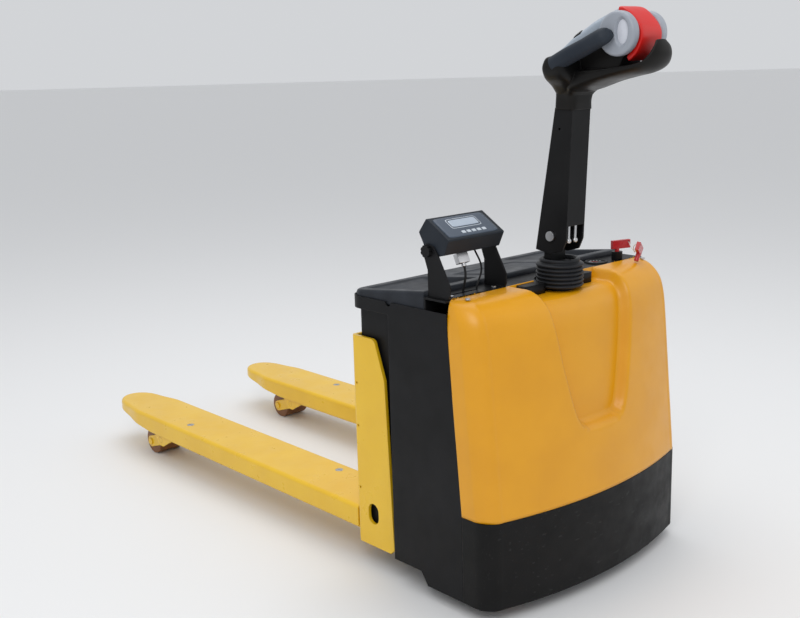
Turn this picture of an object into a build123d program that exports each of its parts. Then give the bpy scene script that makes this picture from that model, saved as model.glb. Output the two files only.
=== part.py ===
"""Electric pallet truck with a weighing indicator, as separate pieces in one frame (mm).

+Z is up, the forks point along +Y and the tiller stands at the -Y end.
The origin is on the floor, under the middle of the truck's overall box.
A "reach" is a distance from the fork side of the carriage towards the tiller.
"""

import os
from math import atan2, cos, degrees, hypot, pi, radians, sin, sqrt

from build123d import *

os.makedirs("parts", exist_ok=True)

# Overall sizes
forks_width = 635  # over both forks
fork_width = 154
fork_reach = 1233  # carriage face to fork tip
tiller_reach = 610  # carriage face to the tip of the hand guard
body_width = 674
body_height = 683  # top of the deck

# Lift
fork_height = 138  # top of the forks as they stand here
lowered_height = 90
raised_height = 200

# Wheels
roller_diameter = 80
roller_width = 84
drive_wheel_diameter = 230
drive_wheel_width = 75
caster_diameter = 100
caster_width = 34

# Fork build
shell_wall = 5
shell_depth = 51
nose_length = 183
nose_thickness = 24
nose_sweep_start = 980  # where the underside starts to rise
frame_wall = 5
frame_bottom_drop = 57  # from the fork top down to the inner frame's lower edge
load_cell_height = 25
front_screw_reach = 812
rear_screw_reach = 216
screw_head_radius = 10

# Roller linkage
pivot_distance = 928  # carriage face to the roller frame's pivot
link_length = 101.3
link_arm = 22
link_rate = 0.01  # radians of link turn for each mm of lift
pivot_radius = 8
rocker_distance = 30
rocker_radius = 14

# Carriage
panel_thickness = 8
panel_bottom = 54
panel_top = 558
flange_width = 638  # over the outer faces of the side flanges
flange_depth_bottom = 126.6
flange_depth_middle = 109
flange_middle = 467
flange_depth_top = 77.5

# Body
sheet = 3
body_bottom = 60
body_rear = 13  # reach of the rear wall
rim_height = 657  # top edge of the body's side
recess_reach = 148
recess_half_width = 305
recess_top = 632
seam_reach_top = 325
seam_reach_bottom = 364
skirt_top = 227
skirt_bottom = 31
nose_reach = 488  # reach of the skirt's front at the middle
corner_reach = 400  # reach where its side turns into the front corner
bow_edge_reach = 446  # reach of the bowed front where it meets the corner
bow_edge_x = 297
cover_wall = 4
lid_front = 258
lid_rise = 0.115
lid_side = 333
tray_depth = 16

# Steering column and tiller
steer_reach = 345
pivot_height = 781
arm_half_width = 30
arm_wall = 4
arm_top = 1056
bellows_radius = 53
bellows_bottom = 667.5
bellows_top = 730
disc_reach = 529
disc_height = 1203
disc_radius = 44
grip_radius = 17
grip_x = 78

# Weighing indicator
indicator_left = -321
indicator_right = -157
indicator_pivot_reach = 266
indicator_pivot_height = 780

clearance = 0.3  # running and seating gap
face_y = (tiller_reach - fork_reach) / 2  # puts the origin under the middle


def at(reach):
    """The y of a place this far from the carriage face, on the tiller side."""
    return face_y - reach


def side_points(points):
    """Turns (reach, height) pairs into (y, z)."""
    return [(at(reach), height) for reach, height in points]


def save(piece, name):
    """Labels a finished piece and writes it to its own file."""
    piece.part.label = name
    export_step(piece.part, f"parts/{name}.step")


def tube_along(points, radii, radius):
    """A round cable along straight runs joined by arcs."""
    with BuildPart() as cable:
        with BuildLine() as route:
            FilletPolyline(*points, radius=radii)
        with BuildSketch(Plane(origin=route.line @ 0, z_dir=route.line % 0)):
            Circle(radius)
        sweep()
    return cable


fork_centre = (forks_width - fork_width) / 2
fork_sides = {"left": -1, "right": 1}
roller_radius = roller_diameter / 2
frame_half = fork_width / 2 - shell_wall - 1  # outer half width of the inner frame
pivot_z = roller_radius + 32
frame_bottom = fork_height - frame_bottom_drop
web_top = fork_height - shell_wall - load_cell_height
steer_y = at(steer_reach)

# ---------------------------------------------------------------- fork carriage
flange_outer = flange_width / 2
flange_inner = flange_outer - panel_thickness
cell_offsets = {front_screw_reach: 34, rear_screw_reach: -41}  # outwards from the fork's middle
cell_length = 120
cell_width = 36
web_end = 870
arm_slot = (30, 50)  # x span of the rocker's input arm
ear_drop = 18
rocker_z = fork_height - 23
tongue_half = 34
tongue_bottom = 150
lift_bracket_reach = 105
ram_top = 545

with BuildPart() as carriage:
    with BuildSketch(Plane.XZ.offset(-face_y)):
        with BuildLine():
            Polyline(
                (-flange_outer, panel_bottom), (flange_outer, panel_bottom),
                (flange_outer, panel_top), (-flange_outer, panel_top), close=True,
            )
        make_face()
    extrude(amount=panel_thickness)
    with BuildSketch(Plane.YZ.offset(flange_inner)) as flange_plan:
        with BuildLine() as flange_line:
            Polyline(
                side_points([
                    (0, panel_bottom), (flange_depth_bottom - 12, panel_bottom),
                    (flange_depth_bottom, panel_bottom + 12), (flange_depth_middle, flange_middle),
                    (flange_depth_top, panel_top), (0, panel_top),
                ]),
                close=True,
            )
        make_face()
        with Locations((at(57), fork_height - 3)):
            SlotCenterToCenter(15, 35, rotation=90, mode=Mode.SUBTRACT)
        with Locations([(at(13), z) for z in (191, 342, 445)]):
            Circle(3, mode=Mode.SUBTRACT)
    extrude(amount=panel_thickness)
    fillet(carriage.edges().filter_by(Axis.X).filter_by(
        lambda e: abs(e.center().Z - panel_top) < 1 and e.center().Y < at(20)), 14)
    mirror(about=Plane.YZ)
    fillet(carriage.edges().filter_by(Axis.Z).filter_by(
        lambda e: abs(abs(e.center().X) - flange_outer) < 1 and abs(e.center().Y - face_y) < 1), 9)
    for side in fork_sides.values():
        centre = side * fork_centre
        for edge in (-1, 1):  # side plates of the inner frame, with the pivot ears
            inner_x = centre + edge * (frame_half - frame_wall / 2)
            with BuildSketch(Plane.YZ.offset(inner_x - frame_wall / 2)):
                with BuildLine():
                    Polyline(
                        (face_y, frame_bottom), (face_y + pivot_distance - 60, frame_bottom),
                        (face_y + pivot_distance - ear_drop, pivot_z - ear_drop + 4),
                        (face_y + pivot_distance - ear_drop + 6, pivot_z - ear_drop),
                        (face_y + pivot_distance + ear_drop - 6, pivot_z - ear_drop),
                        (face_y + pivot_distance + ear_drop, pivot_z - ear_drop + 4),
                        (face_y + pivot_distance + 34, frame_bottom + 4),
                        (face_y + pivot_distance + 34, web_top + 19), (face_y, web_top + 19),
                        close=True,
                    )
                make_face()
                with Locations((face_y + pivot_distance, pivot_z)):
                    Circle(pivot_radius + clearance, mode=Mode.SUBTRACT)
            extrude(amount=frame_wall)
        with Locations((centre, face_y + (60 + web_end) / 2, web_top - frame_wall / 2)):
            Box(2 * frame_half - frame_wall, web_end - 60, frame_wall)
        with Locations((centre, face_y + 3, web_top - frame_wall / 2)):  # heel pad
            Box(2 * frame_half - frame_wall, 6, frame_wall)
    # bearings for the torsion tube, in the inner side plates
    for side in fork_sides.values():
        with Locations(Location((side * (fork_centre - frame_half), face_y + rocker_distance, rocker_z), (0, 90, 0))):
            Cylinder(rocker_radius + 3, 12)
            Cylinder(rocker_radius + clearance, 40, mode=Mode.SUBTRACT)
    # lift bracket and guide tongue, on the back of the panel
    with Locations((0, at((panel_thickness + 40) / 2), (tongue_bottom + ram_top) / 2)):
        Box(2 * tongue_half, 40 - panel_thickness, ram_top - tongue_bottom)
    with Locations((0, at((panel_thickness + lift_bracket_reach) / 2), ram_top + 6)):
        Box(2 * tongue_half, lift_bracket_reach - panel_thickness, 12)
    with Locations(((arm_slot[0] + arm_slot[1]) / 2, at(panel_thickness / 2), 111)):
        Box(arm_slot[1] - arm_slot[0], 3 * panel_thickness, 78, mode=Mode.SUBTRACT)
save(carriage, "fork_carriage")

# ---------------------------------------------------------------- fork shells, cells, screws
nose_start = fork_reach - nose_length
cavity_end = 1080
for name, side in fork_sides.items():
    centre = side * fork_centre
    half = fork_width / 2
    with BuildPart() as shell:
        with BuildSketch(Plane.XY.offset(fork_height - shell_depth)):
            with BuildLine():
                tip = (centre, face_y + fork_reach)
                for edge in (-1, 1):
                    rear = (centre + edge * half, face_y + 2)
                    start = (centre + edge * half, face_y + nose_start)
                    Line(rear, start)
                    Spline(
                        start,
                        (centre + edge * (half - 11), face_y + fork_reach - 0.62 * nose_length),
                        (centre + edge * (half - 25), face_y + fork_reach - 0.22 * nose_length),
                        tip,
                        tangents=[(0, 1), (-edge, 0)],
                    )
                Line((centre - half, face_y + 2), (centre + half, face_y + 2))
            make_face()
        extrude(amount=shell_depth)
        fillet(shell.faces().sort_by(Axis.Z)[-1].edges().filter_by(lambda e: e.center().Y > face_y + 10), 10)
        with BuildSketch(Plane.YZ.offset(centre - half - 1)):  # rising underside
            with BuildLine():
                Polyline(
                    (face_y + nose_sweep_start, fork_height - shell_depth - 1),
                    (face_y + fork_reach + 1, fork_height - shell_depth - 1),
                    (face_y + fork_reach + 1, fork_height - nose_thickness),
                    (face_y + nose_sweep_start, fork_height - shell_depth), close=True,
                )
            make_face()
        extrude(amount=fork_width + 2, mode=Mode.SUBTRACT)
        with Locations((centre, face_y + cavity_end / 2, fork_height - shell_wall - shell_depth / 2)):
            Box(fork_width - 2 * shell_wall, cavity_end, shell_depth, mode=Mode.SUBTRACT)
        with Locations((centre - side * (half - shell_wall / 2), face_y + rocker_distance, fork_height - shell_wall - 23)):
            Box(3 * shell_wall, 2 * rocker_radius + 12, 46, mode=Mode.SUBTRACT)
        with Locations([
            (centre + side * offset_x, face_y + reach, fork_height) for reach, offset_x in cell_offsets.items()
        ]):
            Cylinder(screw_head_radius + clearance, 2 * 3, mode=Mode.SUBTRACT)
            Cylinder(5 + clearance, 4 * shell_wall, mode=Mode.SUBTRACT)
    save(shell, f"fork_shell_{name}")

with BuildPart() as load_cells:
    for side in fork_sides.values():
        for reach, offset_x in cell_offsets.items():
            with Locations((side * (fork_centre + offset_x), face_y + reach, web_top + load_cell_height / 2)):
                Box(cell_width, cell_length, load_cell_height)
            with Locations((side * (fork_centre + offset_x), face_y + reach, fork_height - shell_wall)):
                Cylinder(5, 2 * 14, mode=Mode.SUBTRACT)
save(load_cells, "load_cells")

with BuildPart() as fork_screws:
    for side in fork_sides.values():
        for reach, offset_x in cell_offsets.items():
            with Locations((side * (fork_centre + offset_x), face_y + reach, fork_height - 3)):
                Cylinder(screw_head_radius, 3, align=(Align.CENTER, Align.CENTER, Align.MIN))
                Cylinder(5, 14, align=(Align.CENTER, Align.CENTER, Align.MAX))
            with Locations((side * (fork_centre + offset_x), face_y + reach, fork_height)):
                Box(2.2, 2 * screw_head_radius, 2 * 1.6, mode=Mode.SUBTRACT)
save(fork_screws, "fork_screws")

# ---------------------------------------------------------------- roller linkage
plate_in = roller_width / 2 + 1
plate_out = plate_in + 8
hub_half = frame_half - frame_wall - 0.5
eye_reach = 34  # length of the flat at each end of a pushrod
eye_half = 7  # half the gap between the cheeks that hold a pushrod's eye
drop = (pivot_z - roller_radius) / link_length
link_angle = atan2(drop, sqrt(1 - drop**2))
axle_y = face_y + pivot_distance + link_length * cos(link_angle)
arm_pin_z = pivot_z + link_arm
for name, side in fork_sides.items():
    centre = side * fork_centre
    pivot_y = face_y + pivot_distance
    with BuildPart() as frame:
        with Locations(Location((centre, pivot_y, pivot_z), (0, 90, 0))):
            Cylinder(pivot_radius - 2, 2 * frame_half)
        for edge in (-1, 1):
            with Locations(Location((centre + edge * (eye_half + hub_half) / 2, pivot_y, pivot_z), (0, 90, 0))):
                Cylinder(15, hub_half - eye_half)
            with Locations(Location((centre + edge * (eye_half + frame_half) / 2, pivot_y, pivot_z), (0, 90, 0))):
                Cylinder(pivot_radius, frame_half - eye_half)
        for edge in (-1, 1):
            with BuildSketch(Plane.YZ.offset(centre + edge * (plate_in + plate_out) / 2 - 4)):
                with Locations((pivot_y + link_length / 2 * cos(link_angle), pivot_z - link_length / 2 * sin(link_angle))):
                    SlotCenterToCenter(link_length, 34, rotation=-degrees(link_angle))
            extrude(amount=plate_out - plate_in)
            with BuildSketch(Plane.YZ.offset(centre + edge * 11 - 4)):
                with Locations((pivot_y, pivot_z + link_arm / 2)):
                    SlotCenterToCenter(link_arm, 18, rotation=90)
            extrude(amount=8)
        with Locations(Location((centre, pivot_y, arm_pin_z), (0, 90, 0))):
            Cylinder(5, 30)
        with Locations(Location((centre, axle_y, roller_radius), (0, 90, 0))):
            Cylinder(10, 2 * plate_out + 8)
    save(frame, f"roller_frame_{name}")
    with BuildPart() as roller:
        with Locations(Location((centre, axle_y, roller_radius), (0, 90, 0))):
            Cylinder(roller_radius, roller_width)
            Cylinder(10 + clearance, roller_width + 2, mode=Mode.SUBTRACT)
        fillet(roller.edges().filter_by(GeomType.CIRCLE).filter_by(lambda e: e.radius > 30), 3)
    save(roller, f"load_roller_{name}")
    with BuildPart() as pushrod:
        rear_y = face_y + rocker_distance
        with Locations(Location((centre, (pivot_y + rear_y) / 2, arm_pin_z - 1), (90, 0, 0))):
            Cylinder(7, pivot_y - rear_y - 2 * eye_reach)
        for y in (pivot_y, rear_y):
            inward = 1 if y == rear_y else -1
            with Locations((centre, y + inward * eye_reach / 2, arm_pin_z - 1)):
                Box(10, eye_reach, 14)
            with Locations(Location((centre, y, arm_pin_z - 1), (0, 90, 0))):
                Cylinder(14.5, 10)
        for y in (pivot_y, rear_y):
            with Locations(Location((centre, y, arm_pin_z - 1), (0, 90, 0))):
                Cylinder(10.5, 12, mode=Mode.SUBTRACT)
    save(pushrod, f"pushrod_{name}")

input_length = 1 / link_rate
with BuildPart() as rocker:
    rocker_y = face_y + rocker_distance
    with Locations(Location((0, rocker_y, rocker_z), (0, 90, 0))):
        Cylinder(rocker_radius, 2 * (fork_centre - eye_half))
        Cylinder(pivot_radius - 2, 2 * (fork_centre + eye_half))
    for side in fork_sides.values():
        with Locations(Location((side * (fork_centre + 19), rocker_y, rocker_z), (0, 90, 0))):
            Cylinder(rocker_radius, 24)
        for edge in (-1, 1):
            with BuildSketch(Plane.YZ.offset(side * fork_centre + edge * 11 - 4)):
                with Locations((rocker_y, rocker_z - link_arm / 2)):
                    SlotCenterToCenter(link_arm, 18, rotation=90)
            extrude(amount=8)
        with Locations(Location((side * fork_centre, rocker_y, rocker_z - link_arm), (0, 90, 0))):
            Cylinder(5, 30)
    with BuildSketch(Plane.YZ.offset(36)):
        with Locations((rocker_y - input_length / 2, rocker_z)):
            SlotCenterToCenter(input_length, 20)
    extrude(amount=8)
save(rocker, "lift_rocker")

# ---------------------------------------------------------------- body shell
half_body = body_width / 2
corner = 40


def seam_reach(height):
    """Reach of the seam between the body's side and the front cover at this height."""
    share = (height - skirt_top) / (body_height - skirt_top)
    return seam_reach_bottom + share * (seam_reach_top - seam_reach_bottom)


def recessed_plan(inset):
    """The plan of the body's walls where the carriage's flanges pass, this far inside the outer face."""
    wide = half_body - inset
    narrow = recess_half_width - inset
    step_y = at(recess_reach + inset)
    rear_y = at(body_rear + inset)
    with BuildSketch() as plan:
        with BuildLine():
            Polyline(
                (-wide, at(seam_reach_bottom + 20)), (-wide, step_y), (-narrow, step_y), (-narrow, rear_y),
                (narrow, rear_y), (narrow, step_y), (wide, step_y), (wide, at(seam_reach_bottom + 20)),
                close=True,
            )
        make_face()
        fillet(plan.vertices().filter_by(lambda v: abs(v.Y - rear_y) < 1), 12 - inset)
    return plan.sketch


def full_plan(inset):
    """The plan of the body's walls above the flanges, this far inside the outer face."""
    wide = half_body - inset
    rear_y = at(body_rear + inset)
    with BuildSketch() as plan:
        with BuildLine():
            front_y = at(seam_reach_bottom + 20)
            Polyline((-wide, front_y), (-wide, rear_y), (wide, rear_y), (wide, front_y), close=True)
        make_face()
        fillet(plan.vertices().filter_by(lambda v: abs(v.Y - rear_y) < 1), corner - inset)
    return plan.sketch


with BuildPart() as body_shell:
    with BuildSketch(Plane.XY.offset(skirt_bottom)):
        add(recessed_plan(0))
    extrude(amount=recess_top - skirt_bottom)
    with BuildSketch(Plane.XY.offset(recess_top - sheet)):
        add(full_plan(0))
    extrude(amount=rim_height - recess_top + sheet)
    with BuildSketch(Plane.XY.offset(skirt_bottom)):
        add(recessed_plan(sheet))
    extrude(amount=recess_top - skirt_bottom, mode=Mode.SUBTRACT)
    with BuildSketch(Plane.XY.offset(recess_top)):
        add(full_plan(sheet))
    extrude(amount=rim_height - recess_top, mode=Mode.SUBTRACT)
    # lower edge, and the sloping seam at the front
    with BuildSketch(Plane.YZ.offset(-half_body - 1)):
        with BuildLine():
            Polyline(
                side_points([
                    (0, skirt_bottom - 2), (0, body_bottom), (235, body_bottom), (256, skirt_bottom),
                    (300, skirt_bottom - 1), (300, skirt_bottom - 2),
                ]),
                close=True,
            )
        make_face()
        with BuildLine():
            Polyline(
                side_points([
                    (seam_reach_bottom, skirt_bottom - 2), (seam_reach_bottom, skirt_top),
                    (seam_reach(rim_height + 2), rim_height + 2), (420, rim_height + 2),
                    (420, skirt_bottom - 2),
                ]),
                close=True,
            )
        make_face()
    extrude(amount=body_width + 2, mode=Mode.SUBTRACT)
    # finger notches in the rim, and the opening for the lift bracket
    for side in (-1, 1):
        with Locations(Location((side * half_body, at(150), rim_height), (0, 90, 0))):
            Cylinder(9, 12, mode=Mode.SUBTRACT)
    with Locations((0, at(body_rear), (70 + 630) / 2)):
        Box(2 * 60, 20, 630 - 70, mode=Mode.SUBTRACT)
save(body_shell, "body_shell")
print("carriage, forks, linkage and body shell written")

# ---------------------------------------------------------------- main frame
bulkhead_reach = 212
bulkhead = 6
floor_rear = 26
pocket_half = 55  # inside half width of the lift cylinder's pocket
pocket_reach = 115
drive_plate_z = 300
drive_plate_half = 175
caster_x = 235
caster_plate_z = 128
wall_top = 641
turntable_radius = 78
ring_radius = 108

with BuildPart() as main_frame:
    with Locations((0, at((floor_rear + bulkhead_reach) / 2), 66)):  # floor of the battery space
        Box(2 * 302, bulkhead_reach - floor_rear, 8)
    for side in (-1, 1):
        with Locations((side * 300, at((floor_rear + bulkhead_reach) / 2), (62 + wall_top) / 2)):
            Box(4, bulkhead_reach - floor_rear, wall_top - 62)
        with Locations((side * (pocket_half + 2), at((19 + pocket_reach) / 2), (62 + wall_top) / 2)):
            Box(4, pocket_reach - 19, wall_top - 62)
        with Locations((side * 316, at((recess_reach + 6 + lid_front) / 2), wall_top + 4.35)):  # lid ledge
            Box(34, lid_front - recess_reach - 6, 8.7)
        with Locations((side * 316, at((recess_reach + 6 + lid_front) / 2), wall_top - 40)):
            Box(34, 4, 80)
    with Locations((0, at(pocket_reach + 2), (62 + wall_top) / 2)):
        Box(2 * pocket_half + 8, 4, wall_top - 62)
    with Locations((0, at(bulkhead_reach + bulkhead / 2), (62 + wall_top) / 2)):
        Box(2 * 302, bulkhead, wall_top - 62)
    # front ledge on top of the bulkhead, under the lid and the deck
    with Locations((0, at((bulkhead_reach + lid_front) / 2), wall_top + 4.35)):
        Box(2 * 320, lid_front - bulkhead_reach, 8.7)
    # drive plate, its ribs and the caster plates
    with Locations((0, at(steer_reach - 20), drive_plate_z + 6)):
        Box(2 * drive_plate_half, 2 * (steer_reach - 20 - bulkhead_reach), 12)
    with Locations((0, steer_y, drive_plate_z + 6)):
        Cylinder(turntable_radius + 2, 14, mode=Mode.SUBTRACT)
    for side in (-1, 1):
        with Locations((side * (drive_plate_half - 3), at(300), (caster_plate_z + drive_plate_z) / 2)):
            Box(6, 2 * (300 - bulkhead_reach), drive_plate_z - caster_plate_z)
        with Locations((side * caster_x, at(310), caster_plate_z + 4)):
            Box(2 * (caster_x - drive_plate_half + 6), 2 * (310 - bulkhead_reach), 8)
        with Locations((side * caster_x, steer_y, caster_plate_z + 4)):
            Cylinder(9, 10, mode=Mode.SUBTRACT)
    # stop for the rocker's input arm, on the pocket wall
    with Locations((pocket_half - 10, at(74), rocker_z + 19)):
        Box(22, 32, 6)
save(main_frame, "main_frame")

# ---------------------------------------------------------------- lift cylinder and guides
cylinder_reach = 82
ram_radius = 14
with BuildPart() as lift_cylinder:
    with Locations((0, at(cylinder_reach), 70)):
        Cylinder(27, 410, align=(Align.CENTER, Align.CENTER, Align.MIN))
    with Locations((0, at(cylinder_reach), 100)):
        Cylinder(ram_radius + clearance, 381, align=(Align.CENTER, Align.CENTER, Align.MIN), mode=Mode.SUBTRACT)
save(lift_cylinder, "lift_cylinder")

with BuildPart() as lift_ram:
    with Locations((0, at(cylinder_reach), 200)):
        Cylinder(ram_radius, ram_top - 200, align=(Align.CENTER, Align.CENTER, Align.MIN))
save(lift_ram, "lift_ram")

rail_depth = 8
with BuildPart() as guide_rails:
    for side in (-1, 1):
        with Locations((side * (pocket_half - rail_depth / 2), at(32), 355)):
            Box(rail_depth, 20, 540)
save(guide_rails, "guide_rails")

with BuildPart() as guide_shoes:
    for side in (-1, 1):
        for z in (tongue_bottom + 60, ram_top - 40):
            shoe = pocket_half - rail_depth - clearance - tongue_half
            with Locations((side * (tongue_half + shoe / 2), at(30), z)):
                Box(shoe, 18, 60)
save(guide_shoes, "guide_shoes")

# ---------------------------------------------------------------- batteries, pump and controller
battery_height = 470
for name, side in fork_sides.items():
    with BuildPart() as battery:
        middle = (pocket_half + 8 + 294) / 2
        with Locations((side * middle, at(120), 70 + battery_height / 2)):
            Box(294 - pocket_half - 8, 172, battery_height)
        fillet(battery.edges().filter_by(Axis.Z), 6)
        with Locations([(side * middle + x, at(60), 70 + battery_height) for x in (-80, 80)]):
            Cylinder(9, 22, align=(Align.CENTER, Align.CENTER, Align.MIN))
    save(battery, f"battery_{name}")

with BuildPart() as hydraulic_unit:
    with Locations((-232, at(225 + 70), 320)):  # oil tank, on the bulkhead
        Box(104, 2 * (295 - bulkhead_reach - bulkhead), 160)
    fillet(hydraulic_unit.edges().filter_by(Axis.Z), 10)
    with Locations((-232, at(295), 400)):
        Cylinder(46, 110, align=(Align.CENTER, Align.CENTER, Align.MIN))
    with Locations((-232, at(295), 190)):
        Box(90, 90, 100)
save(hydraulic_unit, "hydraulic_unit")

with BuildPart() as controller:
    with Locations((232, at(bulkhead_reach + bulkhead + 40), 330)):
        Box(110, 80, 180)
    with Locations([(232, at(bulkhead_reach + bulkhead + 80 + 4), z) for z in range(255, 410, 15)]):  # cooling fins
        Box(96, 10, 5)
save(controller, "motor_controller")

# ---------------------------------------------------------------- bumper skirt and front cover


def bowed_plan(inset, back_reach, side_inset=None):
    """The bowed front of the truck in plan, closed by a straight back; inset moves it inwards."""
    side_inset = inset if side_inset is None else side_inset
    wide = half_body - side_inset
    nose = at(nose_reach - inset)
    with BuildSketch() as plan:
        with BuildLine():
            corner_start = (-wide, at(corner_reach - inset))
            corner_end = (-bow_edge_x + side_inset * 0.3, at(bow_edge_reach - inset))
            bend = (-wide + 13, at(corner_reach - inset + 33))
            Line((-wide, at(back_reach)), corner_start)
            ThreePointArc(corner_start, bend, corner_end)
            ThreePointArc(corner_end, (0, nose), (-corner_end[0], corner_end[1]))
            ThreePointArc((-corner_end[0], corner_end[1]), (-bend[0], bend[1]), (-corner_start[0], corner_start[1]))
            Line((wide, at(corner_reach - inset)), (wide, at(back_reach)))
            Line((wide, at(back_reach)), (-wide, at(back_reach)))
        make_face()
    return plan.sketch


with BuildPart() as skirt:
    with BuildSketch(Plane.XY.offset(skirt_bottom)):
        add(bowed_plan(0, seam_reach_bottom + clearance))
    extrude(amount=skirt_top - skirt_bottom - 1)
    with BuildSketch(Plane.XY.offset(skirt_bottom)):
        add(bowed_plan(cover_wall, seam_reach_bottom))
    extrude(amount=skirt_top, mode=Mode.SUBTRACT)
save(skirt, "bumper_skirt")

# how far the cover's front and its sides have moved inwards at each height
cover_top = body_height + 2
cover_leans = [
    (skirt_top, 0, 0), (390, 15, 0), (585, 32, 0), (635, 42, 1), (658, 54, 4), (675, 74, 12), (cover_top, 100, 26),
]
channel_depth = 25
channel_half_top = 130
channel_half_low = 78
channel_bottom = 378
channel_top_z = 660
notch_left, notch_right = -121, 105


def channel(grow):
    """The recess down the middle of the cover, widened and deepened by this much."""
    low = channel_bottom - grow
    lean = degrees(atan2(32, 585 - skirt_top))
    base_reach = nose_reach - channel_depth - grow
    plane = Plane(origin=(0, at(base_reach), skirt_top), x_dir=(1, 0, 0), z_dir=(0, -cos(radians(lean)), -sin(radians(lean))))
    # on this plane y runs up the leaning front of the cover
    with BuildPart(mode=Mode.PRIVATE) as cutter:
        with BuildSketch(Plane(origin=plane.origin, x_dir=(1, 0, 0), z_dir=plane.z_dir)):
            with BuildLine():
                Polyline(
                    (-channel_half_low - grow, low + 34 - skirt_top), (-channel_half_low - grow + 26, low - skirt_top),
                    (channel_half_low + grow - 26, low - skirt_top), (channel_half_low + grow, low + 34 - skirt_top),
                    (channel_half_top + grow, 640 - skirt_top), (channel_half_top + grow, 800 - skirt_top),
                    (-channel_half_top - grow, 800 - skirt_top), (-channel_half_top - grow, 640 - skirt_top),
                    close=True,
                )
            make_face()
        extrude(amount=120)
        with Locations((0, at(400), channel_top_z - grow + 60)):
            Box(2 * (channel_half_top + grow), 400, 120)
    return cutter.part


outer_channel = channel(0)
inner_channel = channel(cover_wall)
with BuildPart() as front_cover:
    for z, front, side in cover_leans:
        with BuildSketch(Plane.XY.offset(z)):
            add(bowed_plan(front, 290, side))
    loft(ruled=True)
    add(outer_channel, mode=Mode.SUBTRACT)
with BuildPart() as cover_inside:
    for z, front, side in cover_leans:
        lowered = z - cover_wall if z > skirt_top else z - 2
        with BuildSketch(Plane.XY.offset(lowered)):
            add(bowed_plan(front + cover_wall, 285, side + cover_wall))
    loft(ruled=True)
    add(inner_channel, mode=Mode.SUBTRACT)
with BuildPart() as cover_trim:
    with BuildSketch(Plane.YZ.offset(-half_body - 1)):  # behind the sloping seam
        with BuildLine():
            Polyline(
                side_points([
                    (250, skirt_top - 5), (seam_reach_bottom + clearance, skirt_top - 5),
                    (seam_reach_bottom + clearance, skirt_top),
                    (seam_reach(body_height + 5) + clearance, body_height + 5), (250, body_height + 5),
                ]),
                close=True,
            )
        make_face()
    extrude(amount=body_width + 2)
    with Locations(((notch_left + notch_right) / 2, at(steer_reach), 640)):  # round the steering column
        Box(notch_right - notch_left, 2 * (388 - steer_reach), 200)
    with Locations((0, steer_y, 600)):
        Cylinder(bellows_radius + 4, 200)
with BuildPart() as cover:
    add(front_cover.part)
    add(cover_inside.part, mode=Mode.SUBTRACT)
    add(cover_trim.part, mode=Mode.SUBTRACT)
save(cover, "front_cover")

# ---------------------------------------------------------------- deck and lid
deck_thickness = 4
deck_back = lid_front + 1
deck_front = 352
slot_span = (-318, -205)
gauge_place = (201, 289)
switch_place = (262, 304)
bracket_screws = (-304, -176)
bracket_screw_reach = 311
bracket_wall = 3
with BuildPart() as deck:
    with BuildSketch(Plane.XY.offset(body_height - deck_thickness)):
        with BuildLine():
            Polyline(
                (-lid_side, at(deck_back)), (lid_side, at(deck_back)), (lid_side, at(seam_reach_top - 1)),
                (notch_right - 1, at(seam_reach_top - 1)), (notch_right - 1, at(deck_front)),
                (notch_left + 1, at(deck_front)), (notch_left + 1, at(seam_reach_top - 1)),
                (-lid_side, at(seam_reach_top - 1)), close=True,
            )
        make_face()
        with Locations((0, steer_y)):
            Circle(bellows_radius + 3, mode=Mode.SUBTRACT)
        with Locations(((slot_span[0] + slot_span[1]) / 2, at(292))):
            SlotOverall(slot_span[1] - slot_span[0], 18, mode=Mode.SUBTRACT)
        with Locations((gauge_place[0], at(gauge_place[1]))):
            Circle(22, mode=Mode.SUBTRACT)
        with Locations([(x, at(bracket_screw_reach)) for x in bracket_screws]):
            Circle(2.5 + clearance, mode=Mode.SUBTRACT)
    extrude(amount=deck_thickness)
    with Locations((0, at(deck_back + 2), body_height - 18)):  # turned-down back edge, on the frame's ledge
        Box(2 * lid_side, 4, 30)
save(deck, "deck_panel")

lid_wall = 4
rim_drop = 650
with BuildPart() as lid:
    with BuildSketch(Plane.XY.offset(rim_drop)):
        with BuildLine():
            Polyline(
                (-lid_side, at(lid_front)), (-lid_side, at(body_rear + sheet + 1)),
                (lid_side, at(body_rear + sheet + 1)), (lid_side, at(lid_front)), close=True,
            )
        make_face()
        fillet(vertices().filter_by(lambda v: v.Y > at(100)), corner - sheet - 1)
    extrude(amount=70)
    with BuildSketch(Plane.YZ.offset(-lid_side - 1)):  # the top slopes up towards the tiller
        with BuildLine():
            Polyline(
                side_points([
                    (0, 665), (lid_front + 2, 665 + lid_rise * (lid_front + 2)), (lid_front + 2, 730), (0, 730),
                ]),
                close=True,
            )
        make_face()
    extrude(amount=2 * lid_side + 2, mode=Mode.SUBTRACT)
    with BuildSketch(Plane.XY.offset(rim_drop)):
        with BuildLine():
            wide = lid_side - lid_wall
            rear = at(body_rear + sheet + 1 + lid_wall)
            Polyline((-wide, at(lid_front - lid_wall)), (-wide, rear), (wide, rear), (wide, at(lid_front - lid_wall)), close=True)
        make_face()
        fillet(vertices().filter_by(lambda v: v.Y > at(100)), corner - sheet - 1 - lid_wall)
    extrude(amount=665 - tray_depth - lid_wall + 6 - rim_drop, mode=Mode.SUBTRACT)
    for x, width in ((-226, 168), (226, 168)):  # the two trays
        with Locations((x, at(136), 720)):
            Box(width, 170, 2 * (720 - 665 - 2), mode=Mode.SUBTRACT)
    fillet(lid.faces().filter_by(lambda f: f.normal_at().Z > 0.9).sort_by(SortBy.AREA)[-1].outer_wire().edges(), 3)
save(lid, "battery_lid")

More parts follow.
